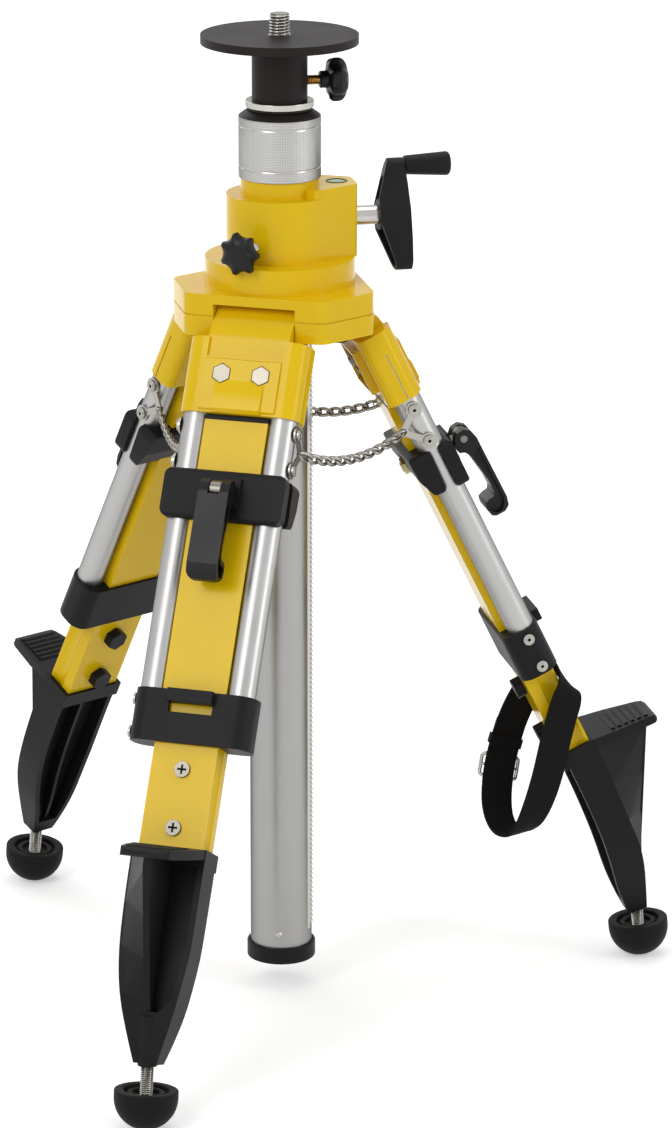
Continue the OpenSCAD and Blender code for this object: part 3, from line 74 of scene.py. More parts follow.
# Values of the part, in millimetres and degrees. A leg has its azimuth and its spread, and S counts down a
# leg from the origin of its frame.
LEGS = {"front": (-120, 28.1), "right": (0, 26.1), "left": (120, 28.1)}
HINGE_REACH, HINGE_Z, TUBE_OFF, BRACKET_DROP = 48.0, -212.0, 9.5, 19.7
RIVET_S, RIVET_STAND = (67.7, 95.5), 2.0
CHAIN_PLATE_Y, CHAIN_PLATE_T, APEX_IN, APEX_S = 45.9, 1.6, 15.0, 80.0
COLLAR_S, COLLAR_RIVETS, COLLAR_SIDE = 271.0, (8.0, 33.0), 47.3
BOLT_REACH = 30.0
SCREW_S, NUT_X, CROSS_X, CROSS_R = (330.0, 374.0), -14.0, (9.5, 11.1), 4.2
FOOT_S, FOOT_IN, FOOT_TILT = 567.4, 21.75, 20.0
FOOT_OUT = {"front": 3.87, "right": -5.15, "left": 3.87}
FOOT_R, FOOT_RIM = 24.0, 6.0
ROD_R, ROD_LEN, ROD_ROOT, ROD_PITCH, ROD_CUT, ROD_SLACK = 5.0, 46.0, 8.0, 1.5, 0.82, 0.03
STUD_R, STUD_CORE, STUD_TOP, STUD_PITCH = 7.9, 6.75, 15.88, 2.309
STUD_SEAT_R, STUD_SEAT_LOW, STUD_SINK = 9.1, -12.9, -0.6
SPINDLE_BAND_Z = -54.9
SLEEVE_R, SLEEVE_LOW, SLEEVE_TOP, CONE_Z, CONE_R, BORE_R = 31.5, -109.0, -57.6, -62.1, 25.0, 22.1
KNURL_LINES, KNURL_DEPTH, KNURL_FLAT = 160, 0.36, 1.4
GROOVES, GROOVE_HALF, GROOVE_DEPTH, GROOVE_SHINE = (-68.9, -100.6), 0.45, 0.65, 0.6
LAND_HALF, LAND_END, LAND_DEPTH = 0.85, 0.8, 0.28
SEAT_R, SEAT_Z, NECK_R = 27.4, (-96.4, -101.4), 24.75
KNOB_LOBES, KNOB_SCREW_R, KNOB_CUT, KNOB_PITCH = 7, 3.95, 0.6, 1.25
VIAL_X, VIAL_TOP, BUBBLE_OFF = 44.0, -114.9, (0.6, 0.4)
COLUMN_SCREW_AZIMUTH, COLUMN_SCREW_R, COLUMN_SCREW_Z = -106, 24.3, -716.0
CHAIN_LINKS, CHAIN_SAG, WIRE_R = 11, 12.0, 1.45
LINK_HALF_W, LINK_OVERLAP, LINK_TWIST = 2.7, 1.2, 50
STRAP_W, STRAP_T = 25.0, 2.0
FLOOR_Z = -763.5


def move(x, y, z):
    return Matrix.Translation((x, y, z))


def turn(angle, axis):
    return Matrix.Rotation(math.radians(angle), 4, axis)


# Frames in millimetres: the whole part, and a leg with X outward and Z up its tubes
WORLD = Matrix.Scale(MM, 4)
ALONG_X = turn(90, "Y")


def leg_frame(leg):
    azimuth, spread = LEGS[leg]
    hinge = WORLD @ turn(azimuth, "Z") @ move(HINGE_REACH, 0, HINGE_Z)
    return hinge @ turn(-spread, "Y") @ move(TUBE_OFF, 0, -BRACKET_DROP)


# Materials
YELLOW = (0.81, 0.535, 0.004)
ALLOY = (0.60, 0.595, 0.585)
STEEL = (0.50, 0.485, 0.455)
BLACK = (0.0085, 0.008, 0.009)
SOOT = (0.008, 0.0075, 0.0075)
COLOR_RANGE, ROUGH_RANGE = (0.32, 0.68), (0.3, 0.7)
# The column's alloy is darker than the leg tubes': partly its own finish, partly painted shade from the legs
# in front of it
COLUMN_TONE_AND_SHADE, TUBE_LEVEL = 0.60, 0.74


def node_of(tree, kind, inputs=None, **settings):
    """Shader node with its inputs linked to sockets or set to constants."""
    n = tree.nodes.new("ShaderNode" + kind)
    for key, value in settings.items():
        setattr(n, key, value)
    for key, value in (inputs or {}).items():
        if isinstance(value, bpy.types.NodeSocket):
            tree.links.new(value, n.inputs[key])
        else:
            n.inputs[key].default_value = value
    return n


def new_material(name):
    material = bpy.data.materials.new(name)
    material.use_nodes = True
    return material, material.node_tree, material.node_tree.nodes["Principled BSDF"]


def rgba(color, factor=1.0):
    return tuple(min(1.0, c * factor) for c in color[:3]) + (1.0,)


def stretched(tree, point, axis, share):
    """The point with its part along axis shortened, so that noise runs in lines along it."""
    along = node_of(tree, "VectorMath", {0: point, 1: axis}, operation="DOT_PRODUCT")
    line = node_of(tree, "VectorMath", {0: axis, "Scale": along.outputs["Value"]}, operation="SCALE")
    part = node_of(tree, "VectorMath", {0: line.outputs[0], "Scale": 1 - share}, operation="SCALE")
    return node_of(tree, "VectorMath", {0: point, 1: part.outputs[0]}, operation="SUBTRACT").outputs[0]


def finish_of(name, color, rough, metallic=0.0, spread=0.06, rough_spread=0.08, grain=900.0, bump=0.05,
              blotch=25.0, axis=None, share=0.01, depth=0.0002, tint=None, spec=0.5, edge=1.0):
    """Material whose colour drifts in soft patches, with a fine grain in its roughness and relief."""
    material, tree, shader = new_material(name)
    point = node_of(tree, "TexCoord").outputs["Object"]
    fine_point = stretched(tree, point, axis, share) if axis else point
    patch = node_of(tree, "TexNoise", {"Vector": point, "Scale": blotch, "Detail": 4.0, "Roughness": 0.6})
    fine = node_of(tree, "TexNoise", {"Vector": fine_point, "Scale": grain, "Detail": 3.0, "Roughness": 0.65})
    both = node_of(tree, "Math", {0: patch.outputs["Fac"], 1: fine.outputs["Fac"]}, operation="ADD")
    fac = node_of(tree, "Math", {0: both.outputs[0], 1: 0.5}, operation="MULTIPLY")
    ramp = node_of(tree, "ValToRGB", {"Fac": fac.outputs[0]})
    low, high = ramp.color_ramp.elements
    low.position, high.position = COLOR_RANGE
    low.color = rgba(color, 1 - spread)
    high.color = rgba(tint or color, 1 + spread)
    tree.links.new(ramp.outputs["Color"], shader.inputs["Base Color"])
    level = node_of(tree, "MapRange", {
        "Value": fac.outputs[0], "From Min": ROUGH_RANGE[0], "From Max": ROUGH_RANGE[1],
        "To Min": max(0.02, rough - rough_spread), "To Max": min(1.0, rough + rough_spread),
    })
    tree.links.new(level.outputs[0], shader.inputs["Roughness"])
    relief = node_of(tree, "Bump", {"Height": fine.outputs["Fac"], "Strength": bump, "Distance": depth})
    tree.links.new(relief.outputs[0], shader.inputs["Normal"])
    shader.inputs["Metallic"].default_value = metallic
    shader.inputs["Specular IOR Level"].default_value = spec
    # A Specular Tint below 1 darkens the reflection at grazing angles: painted shade along the edges of metal
    # parts
    shader.inputs["Specular Tint"].default_value = (edge, edge, edge, 1)
    return material


def metal_of(name, color, rough, **more):
    return finish_of(name, color, rough, metallic=1.0, **more)


def tube_alloy(name, axis, level):
    """Drawn alloy with fine lines along the tube, its reflection darkened at grazing angles as painted shade.
    """
    return metal_of(name, [c * level for c in ALLOY], 0.36, spread=0.05, rough_spread=0.07, bump=0.10,
                    axis=tuple(axis), share=0.012, depth=0.00012, edge=0.35)


def glass_of(name, color):
    material = finish_of(name, color, 0.06, spread=0.1, rough_spread=0.03, grain=300.0, bump=0.01)
    shader = material.node_tree.nodes["Principled BSDF"]
    shader.inputs["Transmission Weight"].default_value = 0.3
    shader.inputs["IOR"].default_value = 1.47
    shader.inputs["Coat Weight"].default_value = 0.15
    shader.inputs["Coat Roughness"].default_value = 0.06
    return material


def webbing_of(name, rib_pitch=1.25, weft_pitch=1.8, weft_phase=0.6):
    """Woven webbing: ribs along and across the ribbon, from its own lengthwise coordinates, with painted
    shade in the low lines of the weave.
    """
    material, tree, shader = new_material(name)
    point = node_of(tree, "UVMap", uv_map="ribbon").outputs["UV"]
    parts = node_of(tree, "SeparateXYZ", {0: point})
    waves = []
    for axis, pitch, phase in (("X", rib_pitch, 0.0), ("Y", weft_pitch, weft_phase)):
        turns = {0: parts.outputs[axis], 1: 2 * math.pi / pitch, 2: phase}
        angle = node_of(tree, "Math", turns, operation="MULTIPLY_ADD")
        waves.append(node_of(tree, "Math", {0: angle.outputs[0]}, operation="SINE").outputs[0])
    weave = node_of(tree, "Math", {0: waves[0], 1: waves[1]}, operation="MULTIPLY")
    rib = node_of(tree, "Math", {0: waves[0], 1: 0.6, 2: weave.outputs[0]}, operation="MULTIPLY_ADD")
    fuzz = node_of(tree, "TexNoise", {"Vector": point, "Scale": 3.0, "Detail": 5.0, "Roughness": 0.7})
    height = node_of(tree, "Math", {0: fuzz.outputs["Fac"], 1: rib.outputs[0]}, operation="ADD")
    fac = node_of(tree, "MapRange", {"Value": height.outputs[0], "From Min": -1.2, "From Max": 2.2})
    # Colour follows the height: darker in the weave's low lines as painted shade, and patchy with the fuzz
    ramp = node_of(tree, "ValToRGB", {"Fac": fac.outputs[0]})
    ramp.color_ramp.elements[0].color = (0.003, 0.003, 0.003, 1)
    ramp.color_ramp.elements[1].color = (0.015, 0.013, 0.014, 1)
    tree.links.new(ramp.outputs["Color"], shader.inputs["Base Color"])
    relief = node_of(tree, "Bump", {"Height": height.outputs[0], "Strength": 0.8, "Distance": 0.0006})
    tree.links.new(relief.outputs[0], shader.inputs["Normal"])
    shader.inputs["Roughness"].default_value = 0.8
    shader.inputs["Specular IOR Level"].default_value = 0.15
    return material


paint = finish_of("yellow_powder_coat", YELLOW, 0.17, spread=0.035, rough_spread=0.04, grain=700.0, bump=0.03,
                  spec=0.18)
plastic = finish_of("black_moulding", BLACK, 0.48, spread=0.25, grain=1600.0, bump=0.12, rough_spread=0.07,
                    spec=0.15)
gloss = finish_of("black_gloss_moulding", BLACK, 0.36, spread=0.25, bump=0.06, rough_spread=0.06, spec=0.22)
cast = finish_of("black_coat", BLACK, 0.46, spread=0.25, grain=1200.0, bump=0.14, spec=0.14)
anodised = finish_of("black_anodised", (0.016, 0.013, 0.012), 0.5, spread=0.2, grain=2200.0, bump=0.08,
                     spec=0.14)
rubber = finish_of("moulded_rubber", SOOT, 0.62, spread=0.3, grain=1000.0, bump=0.2, spec=0.12)
# Near-black for recesses that lie in shade: painted shade in rivet centres and screw-head crosses
shade = finish_of("painted_recess_shade", SOOT, 0.6, spread=0.3, spec=0.1)
steel = metal_of("bright_steel", STEEL, 0.2, rough_spread=0.06, grain=1500.0, bump=0.04, edge=0.6)
# Dark steel painted into the roots of threads as shade
root_shade_steel = metal_of("thread_root_painted_shade", (0.16, 0.15, 0.135), 0.4, grain=1500.0, edge=0.5)
zinc = metal_of("zinc_plate", (0.40, 0.39, 0.355), 0.36, grain=1100.0, bump=0.06, edge=0.5)
bolt_zinc = metal_of("bolt_plate", (0.35, 0.32, 0.265), 0.44, grain=1100.0, bump=0.06, edge=0.5)
screw_zinc = metal_of("screw_plate", (0.20, 0.187, 0.16), 0.36, grain=1100.0, bump=0.06, edge=0.5)
passivated = metal_of("yellow_zinc", (0.44, 0.39, 0.20), 0.34, tint=(0.48, 0.37, 0.19))
nickel = metal_of("nickel_chain", (0.30, 0.285, 0.26), 0.26, spread=0.12, blotch=160.0, edge=0.5)
brass = metal_of("brass", (0.58, 0.37, 0.13), 0.26)
knurl = metal_of("knurled_alloy", (0.56, 0.555, 0.54), 0.34, grain=1500.0, edge=0.6)
# Darker alloy painted into the knurl's valleys as shade
painted_valley_shade = metal_of("knurl_valley_painted_shade", (0.34, 0.335, 0.32), 0.42, grain=1500.0, edge=0.5)
# Darker level for the column: its own finish and painted shade
column_alloy = tube_alloy("column_alloy", (0, 0, 1), COLUMN_TONE_AND_SHADE)
leg_alloy = {}
for leg in LEGS:
    up_leg = (leg_frame(leg).to_3x3() @ Vector((0, 0, 1))).normalized()
    leg_alloy[leg] = tube_alloy(leg + "_tube_alloy", up_leg, TUBE_LEVEL)
vial_green = glass_of("vial_green", (0.22, 0.42, 0.03))
# Pale green for the vial's air bubble: painted highlight
bubble_highlight = glass_of("vial_bubble_highlight", (0.45, 0.72, 0.30))
webbing = webbing_of("woven_webbing")

# Mesh helpers


def add(name, verts, faces, materials, body, matrix=WORLD, indices=None, angle=35, slot=None, replaces=()):
    """Piece from points in the given frame's millimetres, smooth-shaded up to the given angle."""
    mesh = bpy.data.meshes.new(name)
    mesh.from_pydata([matrix @ Vector(v) for v in verts], [], faces)
    for m in materials if isinstance(materials, (list, tuple)) else [materials]:
        mesh.materials.append(m)
    if indices:
        mesh.polygons.foreach_set("material_index", indices)
    mesh.validate()
    mesh.shade_smooth()
    mesh.set_sharp_from_angle(angle=math.radians(angle))
    piece = bpy.data.objects.new(name, mesh)
    bpy.context.scene.collection.objects.link(piece)
    if body:
        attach(piece, body)
    if replaces:
        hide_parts(*replaces)
    return piece


def bevel(piece, width, segments, angle, smooth):
    """Rounds the edges; a smooth piece also shades its slightly bent faces as one."""
    m = piece.modifiers.new("edge", "BEVEL")
    m.width = width * MM
    m.segments = segments
    m.limit_method = "ANGLE"
    m.angle_limit = math.radians(angle)
    m.harden_normals = not smooth
    if smooth:
        piece.modifiers.new("shading", "WEIGHTED_NORMAL").keep_sharp = True


def around(k, steps):
    """Angle of step k of a full turn."""
    return 2 * math.pi * k / steps


def strips(rings, steps):
    """Faces between rings of points that follow one another."""
    return [
        (j * steps + k, j * steps + (k + 1) % steps, (j + 1) * steps + (k + 1) % steps, (j + 1) * steps + k)
        for j in range(rings - 1) for k in range(steps)
    ]


def capped(verts, faces, rings, steps, ends):
    """Closes the first and the last of the rings with fans about the points at their ends."""
    for j, flip, end in ((0, True, ends[0]), (rings - 1, False, ends[1])):
        verts.append(end)
        c = len(verts) - 1
        for k in range(steps):
            a, b = j * steps + k, j * steps + (k + 1) % steps
            faces.append((c, b, a) if flip else (c, a, b))
    return verts, faces


def lathe(profile, steps=64):
    """Points and faces of a profile of (radius, height) turned about Z; a radius of 0 closes an end."""
    verts, faces, rings = [], [], []
    for r, z in profile:
        start = len(verts)
        if r == 0:
            verts.append((0, 0, z))
            rings.append([start])
        else:
            turns = [around(k, steps) for k in range(steps)]
            verts += [(r * math.cos(a), r * math.sin(a), z) for a in turns]
            rings.append(list(range(start, start + steps)))
    for a, b in zip(rings, rings[1:]):
        for k in range(steps):
            n = (k + 1) % steps
            if len(a) == 1:
                faces.append((a[0], b[n], b[k]))
            elif len(b) == 1:
                faces.append((a[k], a[n], b[0]))
            else:
                faces.append((a[k], a[n], b[n], b[k]))
    return verts, faces


def grid_tube(steps, radius, heights):
    """Open tube about Z whose radius is a function of row and angle."""
    verts = []
    for j, z in enumerate(heights):
        for k in range(steps):
            a = around(k, steps)
            r = radius(j, a)
            verts.append((r * math.cos(a), r * math.sin(a), z))
    return verts, strips(len(heights), steps)


def thread(r, root, z0, z1, pitch, lead=1.0, per_turn=6, steps=40):
    """Threaded rod about Z from z0 to z1, with the ends turned down over the length lead."""
    slope, crest = 2.6, 0.15
    rows = int((z1 - z0) / pitch * per_turn) + 1
    heights = [z0 + (z1 - z0) * j / (rows - 1) for j in range(rows)]

    def radius(j, a):
        phase = (heights[j] / pitch - a / (2 * math.pi)) % 1.0
        flank = min(1.0, max(0.0, abs(phase - 0.5) * slope - crest))
        end = min(1.0, (heights[j] - z0) / lead, (z1 - heights[j]) / lead)
        cap = root + (r - root) * max(0.0, end)
        return min(r - (r - root) * flank, cap)

    verts, faces = grid_tube(steps, radius, heights)
    return capped(verts, faces, rows, steps, ((0, 0, heights[0]), (0, 0, heights[-1])))


def root_faces(part, r, root):
    """1 for each face of a thread that lies in its root, else 0."""
    verts, faces = part
    level = (r + root) / 2

    def deep(face):
        return len(face) == 4 and sum(math.hypot(*verts[i][:2]) for i in face) / len(face) < level

    return [1 if deep(face) else 0 for face in faces]


def joined(*parts):
    """The points and faces of several parts as one."""
    verts, faces = [], []
    for part_verts, part_faces in parts:
        base = len(verts)
        verts += list(part_verts)
        faces += [tuple(i + base for i in face) for face in part_faces]
    return verts, faces


def placed(part, matrix):
    verts, faces = part
    return [tuple(matrix @ Vector(v)) for v in verts], faces


def soften(node, width, *materials, slot, pick=None, segments=2, angle=32, smooth=False):
    """Piece that stands for a CAD node: the same solid with its edges rounded; pick sorts its faces."""
    mesh = NODES[node].data.copy()
    mesh.name = node + "_skin"
    mesh.materials.clear()
    for m in materials:
        mesh.materials.append(m)
    bm = bmesh.new()
    bm.from_mesh(mesh)
    bmesh.ops.remove_doubles(bm, verts=bm.verts, dist=2e-6)
    bmesh.ops.dissolve_limit(bm, angle_limit=math.radians(0.4), verts=bm.verts, edges=bm.edges)
    for f in bm.faces:
        f.material_index = pick(f.calc_center_median() / MM) if pick else 0
    bm.to_mesh(mesh)
    bm.free()
    own_normals = mesh.attributes.get("custom_normal")
    if own_normals:
        mesh.attributes.remove(own_normals)
    mesh.shade_smooth()
    mesh.set_sharp_from_angle(angle=math.radians(angle))
    piece = bpy.data.objects.new(node + "_skin", mesh)
    bpy.context.scene.collection.objects.link(piece)
    bevel(piece, width, segments, angle, smooth)
    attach(piece, NODES[node]["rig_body"])
    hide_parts(node)


def dress(node, material):
    """Material on a CAD node that keeps its own shape."""
    mesh = NODES[node].data
    mesh.materials.clear()
    mesh.materials.append(material)


# Head, housing, crank and column
soften("head_plate", 2.0, paint, slot="yellow_paint")
soften("hinge_ring", 0.8, paint, slot="yellow_paint")
soften("gear_housing", 1.6, paint, slot="yellow_paint", segments=3)
soften("head_screws", 0.5, plastic, slot="black_plastic")
soften("column_cap", 1.0, plastic, slot="black_plastic")
soften("crank_shaft", 0.4, steel, slot="bright_steel")
soften("crank_arm", 1.6, plastic, slot="black_plastic", segments=3)
soften("crank_grip", 0.8, plastic, slot="black_plastic")
soften("platform", 0.7, anodised, slot="black_anodised")
soften("platform_spindle", 0.5, steel, anodised, slot="bright_steel",
       pick=lambda center: 1 if center.z < SPINDLE_BAND_Z else 0)
dress("column_bushes", knurl)
dress("column_tube", column_alloy)
for node in ("column_rack", "column_head", "gear_shaft"):
    dress(node, steel)

# Legs


def bolt_parts(leg):
    """Tells the bolts in a leg's bracket from the rivets on its sides."""
    inverse = leg_frame(leg).inverted()
    return lambda center: 1 if abs((inverse @ (center * MM)).y) < BOLT_REACH else 0


def screw_parts(leg):
    """Tells the nuts on a leg's inner face and the crosses in its screw heads from the rest of its screws;
    the crosses get painted shade.
    """
    inverse = leg_frame(leg).inverted()

    def part(center):
        p = inverse @ (center * MM)
        if p.x < NUT_X:
            return 1
        across = min(math.hypot(p.y, p.z + s) for s in SCREW_S)
        return 2 if across < CROSS_R and CROSS_X[0] < p.x < CROSS_X[1] else 0

    return part


for leg in LEGS:
    dress(leg + "_tubes", leg_alloy[leg])
    soften(leg + "_bracket", 1.8, paint, slot="yellow_paint")
    soften(leg + "_collar", 1.0, plastic, slot="black_plastic")
    soften(leg + "_fasteners", 0.8, zinc, bolt_zinc, slot="zinc_steel", pick=bolt_parts(leg))
    soften(leg + "_chain_plates", 0.3, zinc, slot="zinc_steel")
    soften(leg + "_inner_leg", 0.5, paint, slot="yellow_paint")
    soften(leg + "_clamp", 1.4, plastic, slot="black_plastic")
    soften(leg + "_lever", 1.0, gloss, slot="black_plastic")
    # The crosses in the screw heads take the near-black recess material: painted shade
    soften(leg + "_screws", 0.6, screw_zinc, passivated, shade, slot="zinc_steel", pick=screw_parts(leg))
    soften(leg + "_shoe", 1.2, cast, slot="black_cast", smooth=True)


# Mounting stud: a real thread in its seat


def make_stud():
    seat = lathe([(0, STUD_SEAT_LOW), (STUD_SEAT_R, STUD_SEAT_LOW), (STUD_SEAT_R, -0.5),
                  (STUD_SEAT_R - 0.5, 0), (7.2, 0), (6.8, STUD_SINK), (0, STUD_SINK)])
    screw = thread(STUD_R, STUD_CORE, STUD_SINK, STUD_TOP, STUD_PITCH, lead=1.6, per_turn=10, steps=64)
    # Faces in the thread's roots take dark steel: painted shade
    add("stud_thread", *joined(screw, seat), [steel, root_shade_steel], "platform", slot="bright_steel",
        replaces=["mounting_stud"], angle=50,
        indices=root_faces(screw, STUD_R, STUD_CORE) + [0] * len(seat[1]))


make_stud()

# Feet: half balls on real threads


def foot_profile():
    """Half ball with a rim, a groove inside it and a raised ring about the screw."""
    turns = [math.radians(-90 + 6 * k) for k in range(1, 16)]
    ball = [(FOOT_R * math.cos(a), FOOT_R * math.sin(a)) for a in turns]
    rim = [(FOOT_R, FOOT_RIM - 0.9), (FOOT_R - 0.25, FOOT_RIM - 0.3), (FOOT_R - 0.9, FOOT_RIM)]
    groove = [(0.75, 6.0), (0.725, 5.6), (0.71, 4.6), (0.70, 2.4), (0.69, 2.2), (0.62, 2.2), (0.61, 2.4)]
    ring = [(0.60, 3.8), (0.585, 4.3), (0.56, 4.5), (0.47, 4.5), (0.445, 4.3), (0.43, 3.8), (0.42, 1.8),
            (0.41, 1.6)]
    bore = [(ROD_R + 0.1, 1.6), (ROD_R + 0.1, -ROD_ROOT - 0.3), (0, -ROD_ROOT - 0.3)]
    return [(0, -FOOT_R)] + ball + rim + [(u * FOOT_R, z) for u, z in groove + ring] + bore


def make_foot(leg):
    rod = leg_frame(leg) @ move(-FOOT_IN, 0, -FOOT_S) @ turn(FOOT_TILT, "Y") @ move(0, 0, -FOOT_OUT[leg])
    r, end_gap = ROD_R - ROD_SLACK, 0.05
    screw = thread(r, r - ROD_CUT, -ROD_ROOT + end_gap, ROD_LEN - end_gap, ROD_PITCH, lead=0.8)
    # Faces in the thread's roots take dark steel: painted shade
    add(leg + "_foot_screw_thread", *screw, [steel, root_shade_steel], leg + "_foot_screw", matrix=rod,
        slot="bright_steel", replaces=[leg + "_spindle"], angle=50, indices=root_faces(screw, r, r - ROD_CUT))
    add(leg + "_ball_foot", *lathe(foot_profile(), 96), rubber, leg + "_foot", matrix=rod, slot="foot_rubber",
        replaces=[leg + "_foot"])


for leg in LEGS:
    make_foot(leg)

# Star knobs along X: lobed head with a domed face, boss and screw


def lobed_radius(r, a):
    """Round outline with a round scallop between each two lobes."""
    reach, scallop = 1.36 * r, 0.55 * r
    way = math.pi / KNOB_LOBES
    off = abs((a + way) % (2 * way) - way) - way
    room = scallop ** 2 - (reach * math.sin(off)) ** 2
    return min(r, reach * math.cos(off) - math.sqrt(room)) if room > 0 else r


def star_head(d, x0, x1, steps=168):
    """Lobed knob head from x0 to x1, as rings of one lobed outline, with a domed face."""
    round_size, lobed_size = 0.4, 0.7
    rings = [(0.0, 0.40), (0.02, 0.56), (0.10, 0.86), (0.18, 0.95), (0.28, 1.0), (0.55, 1.0), (0.68, 0.96),
             (0.80, 0.87), (0.90, 0.72), (0.97, 0.50), (0.99, 0.36), (1.0, 0.18)]
    verts = []
    for u, size in rings:
        lobed = min(1.0, max(0.0, (size - round_size) / (lobed_size - round_size)))
        for k in range(steps):
            a = around(k, steps)
            r = size * (lobed * lobed_radius(d / 2, a) + (1 - lobed) * d / 2)
            verts.append((x0 + u * (x1 - x0), r * math.cos(a), r * math.sin(a)))
    return capped(verts, strips(len(rings), steps), len(rings), steps, ((x0, 0, 0), (x1, 0, 0)))


def knob(name, body, node, matrix, d, boss_r, screw_x, boss_x, head_x, screw_material):
    head_seat = head_x[0] + 0.4
    boss = [(0, boss_x), (boss_r * 0.86, boss_x), (boss_r, boss_x + 0.8), (boss_r, head_x[0] - 1.2),
            (boss_r * 1.16, head_seat), (0, head_seat)]
    handle = joined(star_head(d, *head_x), placed(lathe(boss, 48), ALONG_X))
    add(name, *handle, gloss, body, matrix=matrix, slot="black_plastic", replaces=[node], angle=40)
    screw = thread(KNOB_SCREW_R, KNOB_SCREW_R - KNOB_CUT, *screw_x, KNOB_PITCH, lead=0.6)
    add(name + "_screw", *placed(screw, ALONG_X), screw_material, body, matrix=matrix, angle=50)


knob("platform_clamp_knob", "platform_knob", "platform_knob", WORLD @ move(0, 0, -36.0), d=34.0, boss_r=6.6,
     screw_x=(14.45, 31.0), boss_x=30.6, head_x=(36.4, 52.3), screw_material=brass)
knob("column_lock_knob", "lock_knob", "lock_knob", WORLD @ turn(-130, "Z") @ move(0, 0, -157.5), d=33.0,
     boss_r=8.0, screw_x=(24.75, 53.0), boss_x=52.5, head_x=(58.5, 69.9), screw_material=steel)

# Fine sleeve: dark cone, diamond knurl with painted shade in its valleys, and two bright grooves


def near_groove(z, half):
    return any(abs(z - g) < half for g in GROOVES)


def make_sleeve():
    per_line = 3
    steps = KNURL_LINES * per_line
    pitch = 2 * math.pi * SLEEVE_R / KNURL_LINES
    span = CONE_Z - SLEEVE_LOW
    rows = int(span / (pitch / per_line)) + 1
    heights = [SLEEVE_LOW + span * j / (rows - 1) for j in range(rows)]
    land_r = SLEEVE_R - LAND_DEPTH

    def radius(j, a):
        z = heights[j]
        if near_groove(z, GROOVE_HALF):
            return SLEEVE_R - GROOVE_DEPTH
        if near_groove(z, LAND_HALF) or z < SLEEVE_LOW + LAND_END or z > CONE_Z - LAND_END:
            return land_r
        u, v = a * KNURL_LINES / (2 * math.pi), z / pitch
        ridge = min(abs((u + v) % 1.0 - 0.5), abs((u - v) % 1.0 - 0.5)) * 2
        return SLEEVE_R - KNURL_DEPTH * (1 - min(1.0, ridge * KNURL_FLAT))

    def material_at(j, k):
        if near_groove((heights[j] + heights[j + 1]) / 2, GROOVE_SHINE):
            return 2
        # Faces down in the knurl's valleys take the darker alloy: painted shade
        corners = [radius(j + b, around(k + c, steps)) for b in (0, 1) for c in (0, 1)]
        return 3 if sum(corners) / 4 < SLEEVE_R - KNURL_DEPTH / 2 else 0

    inside = [(land_r, CONE_Z), (SLEEVE_R - 0.4, CONE_Z + 0.3), (CONE_R + 0.5, SLEEVE_TOP - 0.2),
              (CONE_R, SLEEVE_TOP), (BORE_R + 0.5, SLEEVE_TOP), (BORE_R, SLEEVE_TOP - 0.5),
              (BORE_R, SEAT_Z[0]), (SEAT_R, SEAT_Z[0]), (SEAT_R, SEAT_Z[1]), (NECK_R, SEAT_Z[1]),
              (NECK_R, SLEEVE_LOW), (land_r, SLEEVE_LOW)]
    lining = lathe(inside, KNURL_LINES)
    indices = [material_at(j, k) for j in range(rows - 1) for k in range(steps)] + [1] * len(lining[1])
    shell = joined(grid_tube(steps, radius, heights), lining)
    add("knurled_sleeve", *shell, [knurl, anodised, steel, painted_valley_shade], "fine_sleeve", indices=indices,
        slot="knurled_alloy", replaces=["fine_sleeve"], angle=60)


make_sleeve()

# Round level in the top of the nose


def make_vial():
    at = WORLD @ move(VIAL_X, 0, VIAL_TOP)
    rim = [(0, -4.9), (8.45, -4.9), (8.45, 0.1), (8.1, 0.38), (7.3, 0.38), (7.0, 0.1), (7.0, -0.6), (0, -0.6)]
    glass = [(0, -0.55), (6.95, -0.55), (6.95, -0.05), (5.0, 0.16), (2.5, 0.25), (0, 0.28)]
    air = [(0, 0.2), (2.0, 0.22), (2.5, 0.27), (2.3, 0.31), (1.4, 0.34), (0, 0.35)]
    add("vial_rim", *lathe(rim), gloss, "head", matrix=at, slot="black_plastic", replaces=["level_vial"])
    add("vial_glass", *lathe(glass), vial_green, "head", matrix=at, slot="vial_glass")
    # The bubble is paler than the fluid: a real bubble with a painted highlight
    add("vial_bubble_highlight", *lathe(air, 40), bubble_highlight, "head", matrix=at @ move(*BUBBLE_OFF, 0), slot="vial_glass")


make_vial()

# Rivets, each with a dark disc in its centre as painted shade, and the small screw at the foot of the column
# Thin dark disc in a rivet's centre: painted shade
RIVET_EYE_SHADE = [(1.3, 0.0), (1.3, 0.06), (0, 0.06)]
RIVET_LIP = [(3.3, 0.02), (3.15, 0.35), (2.6, 0.55), (1.6, 0.55), (1.3, 0.3), (1.3, 0.02)]
COLUMN_SCREW = [(0, -0.6), (2.6, -0.6), (2.6, 0.35), (2.2, 0.8), (0.9, 1.0), (0.9, 0.5), (0, 0.5)]


def make_rivets(leg):
    plate_y = CHAIN_PLATE_Y + CHAIN_PLATE_T / 2 + RIVET_STAND
    spots = [(side * plate_y, -s, side) for side in (-1, 1) for s in RIVET_S]
    spots += [(-COLLAR_SIDE - RIVET_STAND, -COLLAR_S - s, -1) for s in COLLAR_RIVETS]
    for label, profile, material in (("eye_shades", RIVET_EYE_SHADE, shade), ("lips", RIVET_LIP, zinc)):
        parts = [placed(lathe(profile, 32), move(0, y, z) @ turn(-90 * side, "X")) for y, z, side in spots]
        add(leg + "_rivet_" + label, *joined(*parts), material, leg + "_leg", matrix=leg_frame(leg),
            slot="zinc_steel")


for leg in LEGS:
    make_rivets(leg)
column_side = WORLD @ turn(COLUMN_SCREW_AZIMUTH, "Z") @ move(COLUMN_SCREW_R, 0, COLUMN_SCREW_Z) @ ALONG_X
add("column_foot_screw", *lathe(COLUMN_SCREW, 32), steel, "column", matrix=column_side, slot="bright_steel")

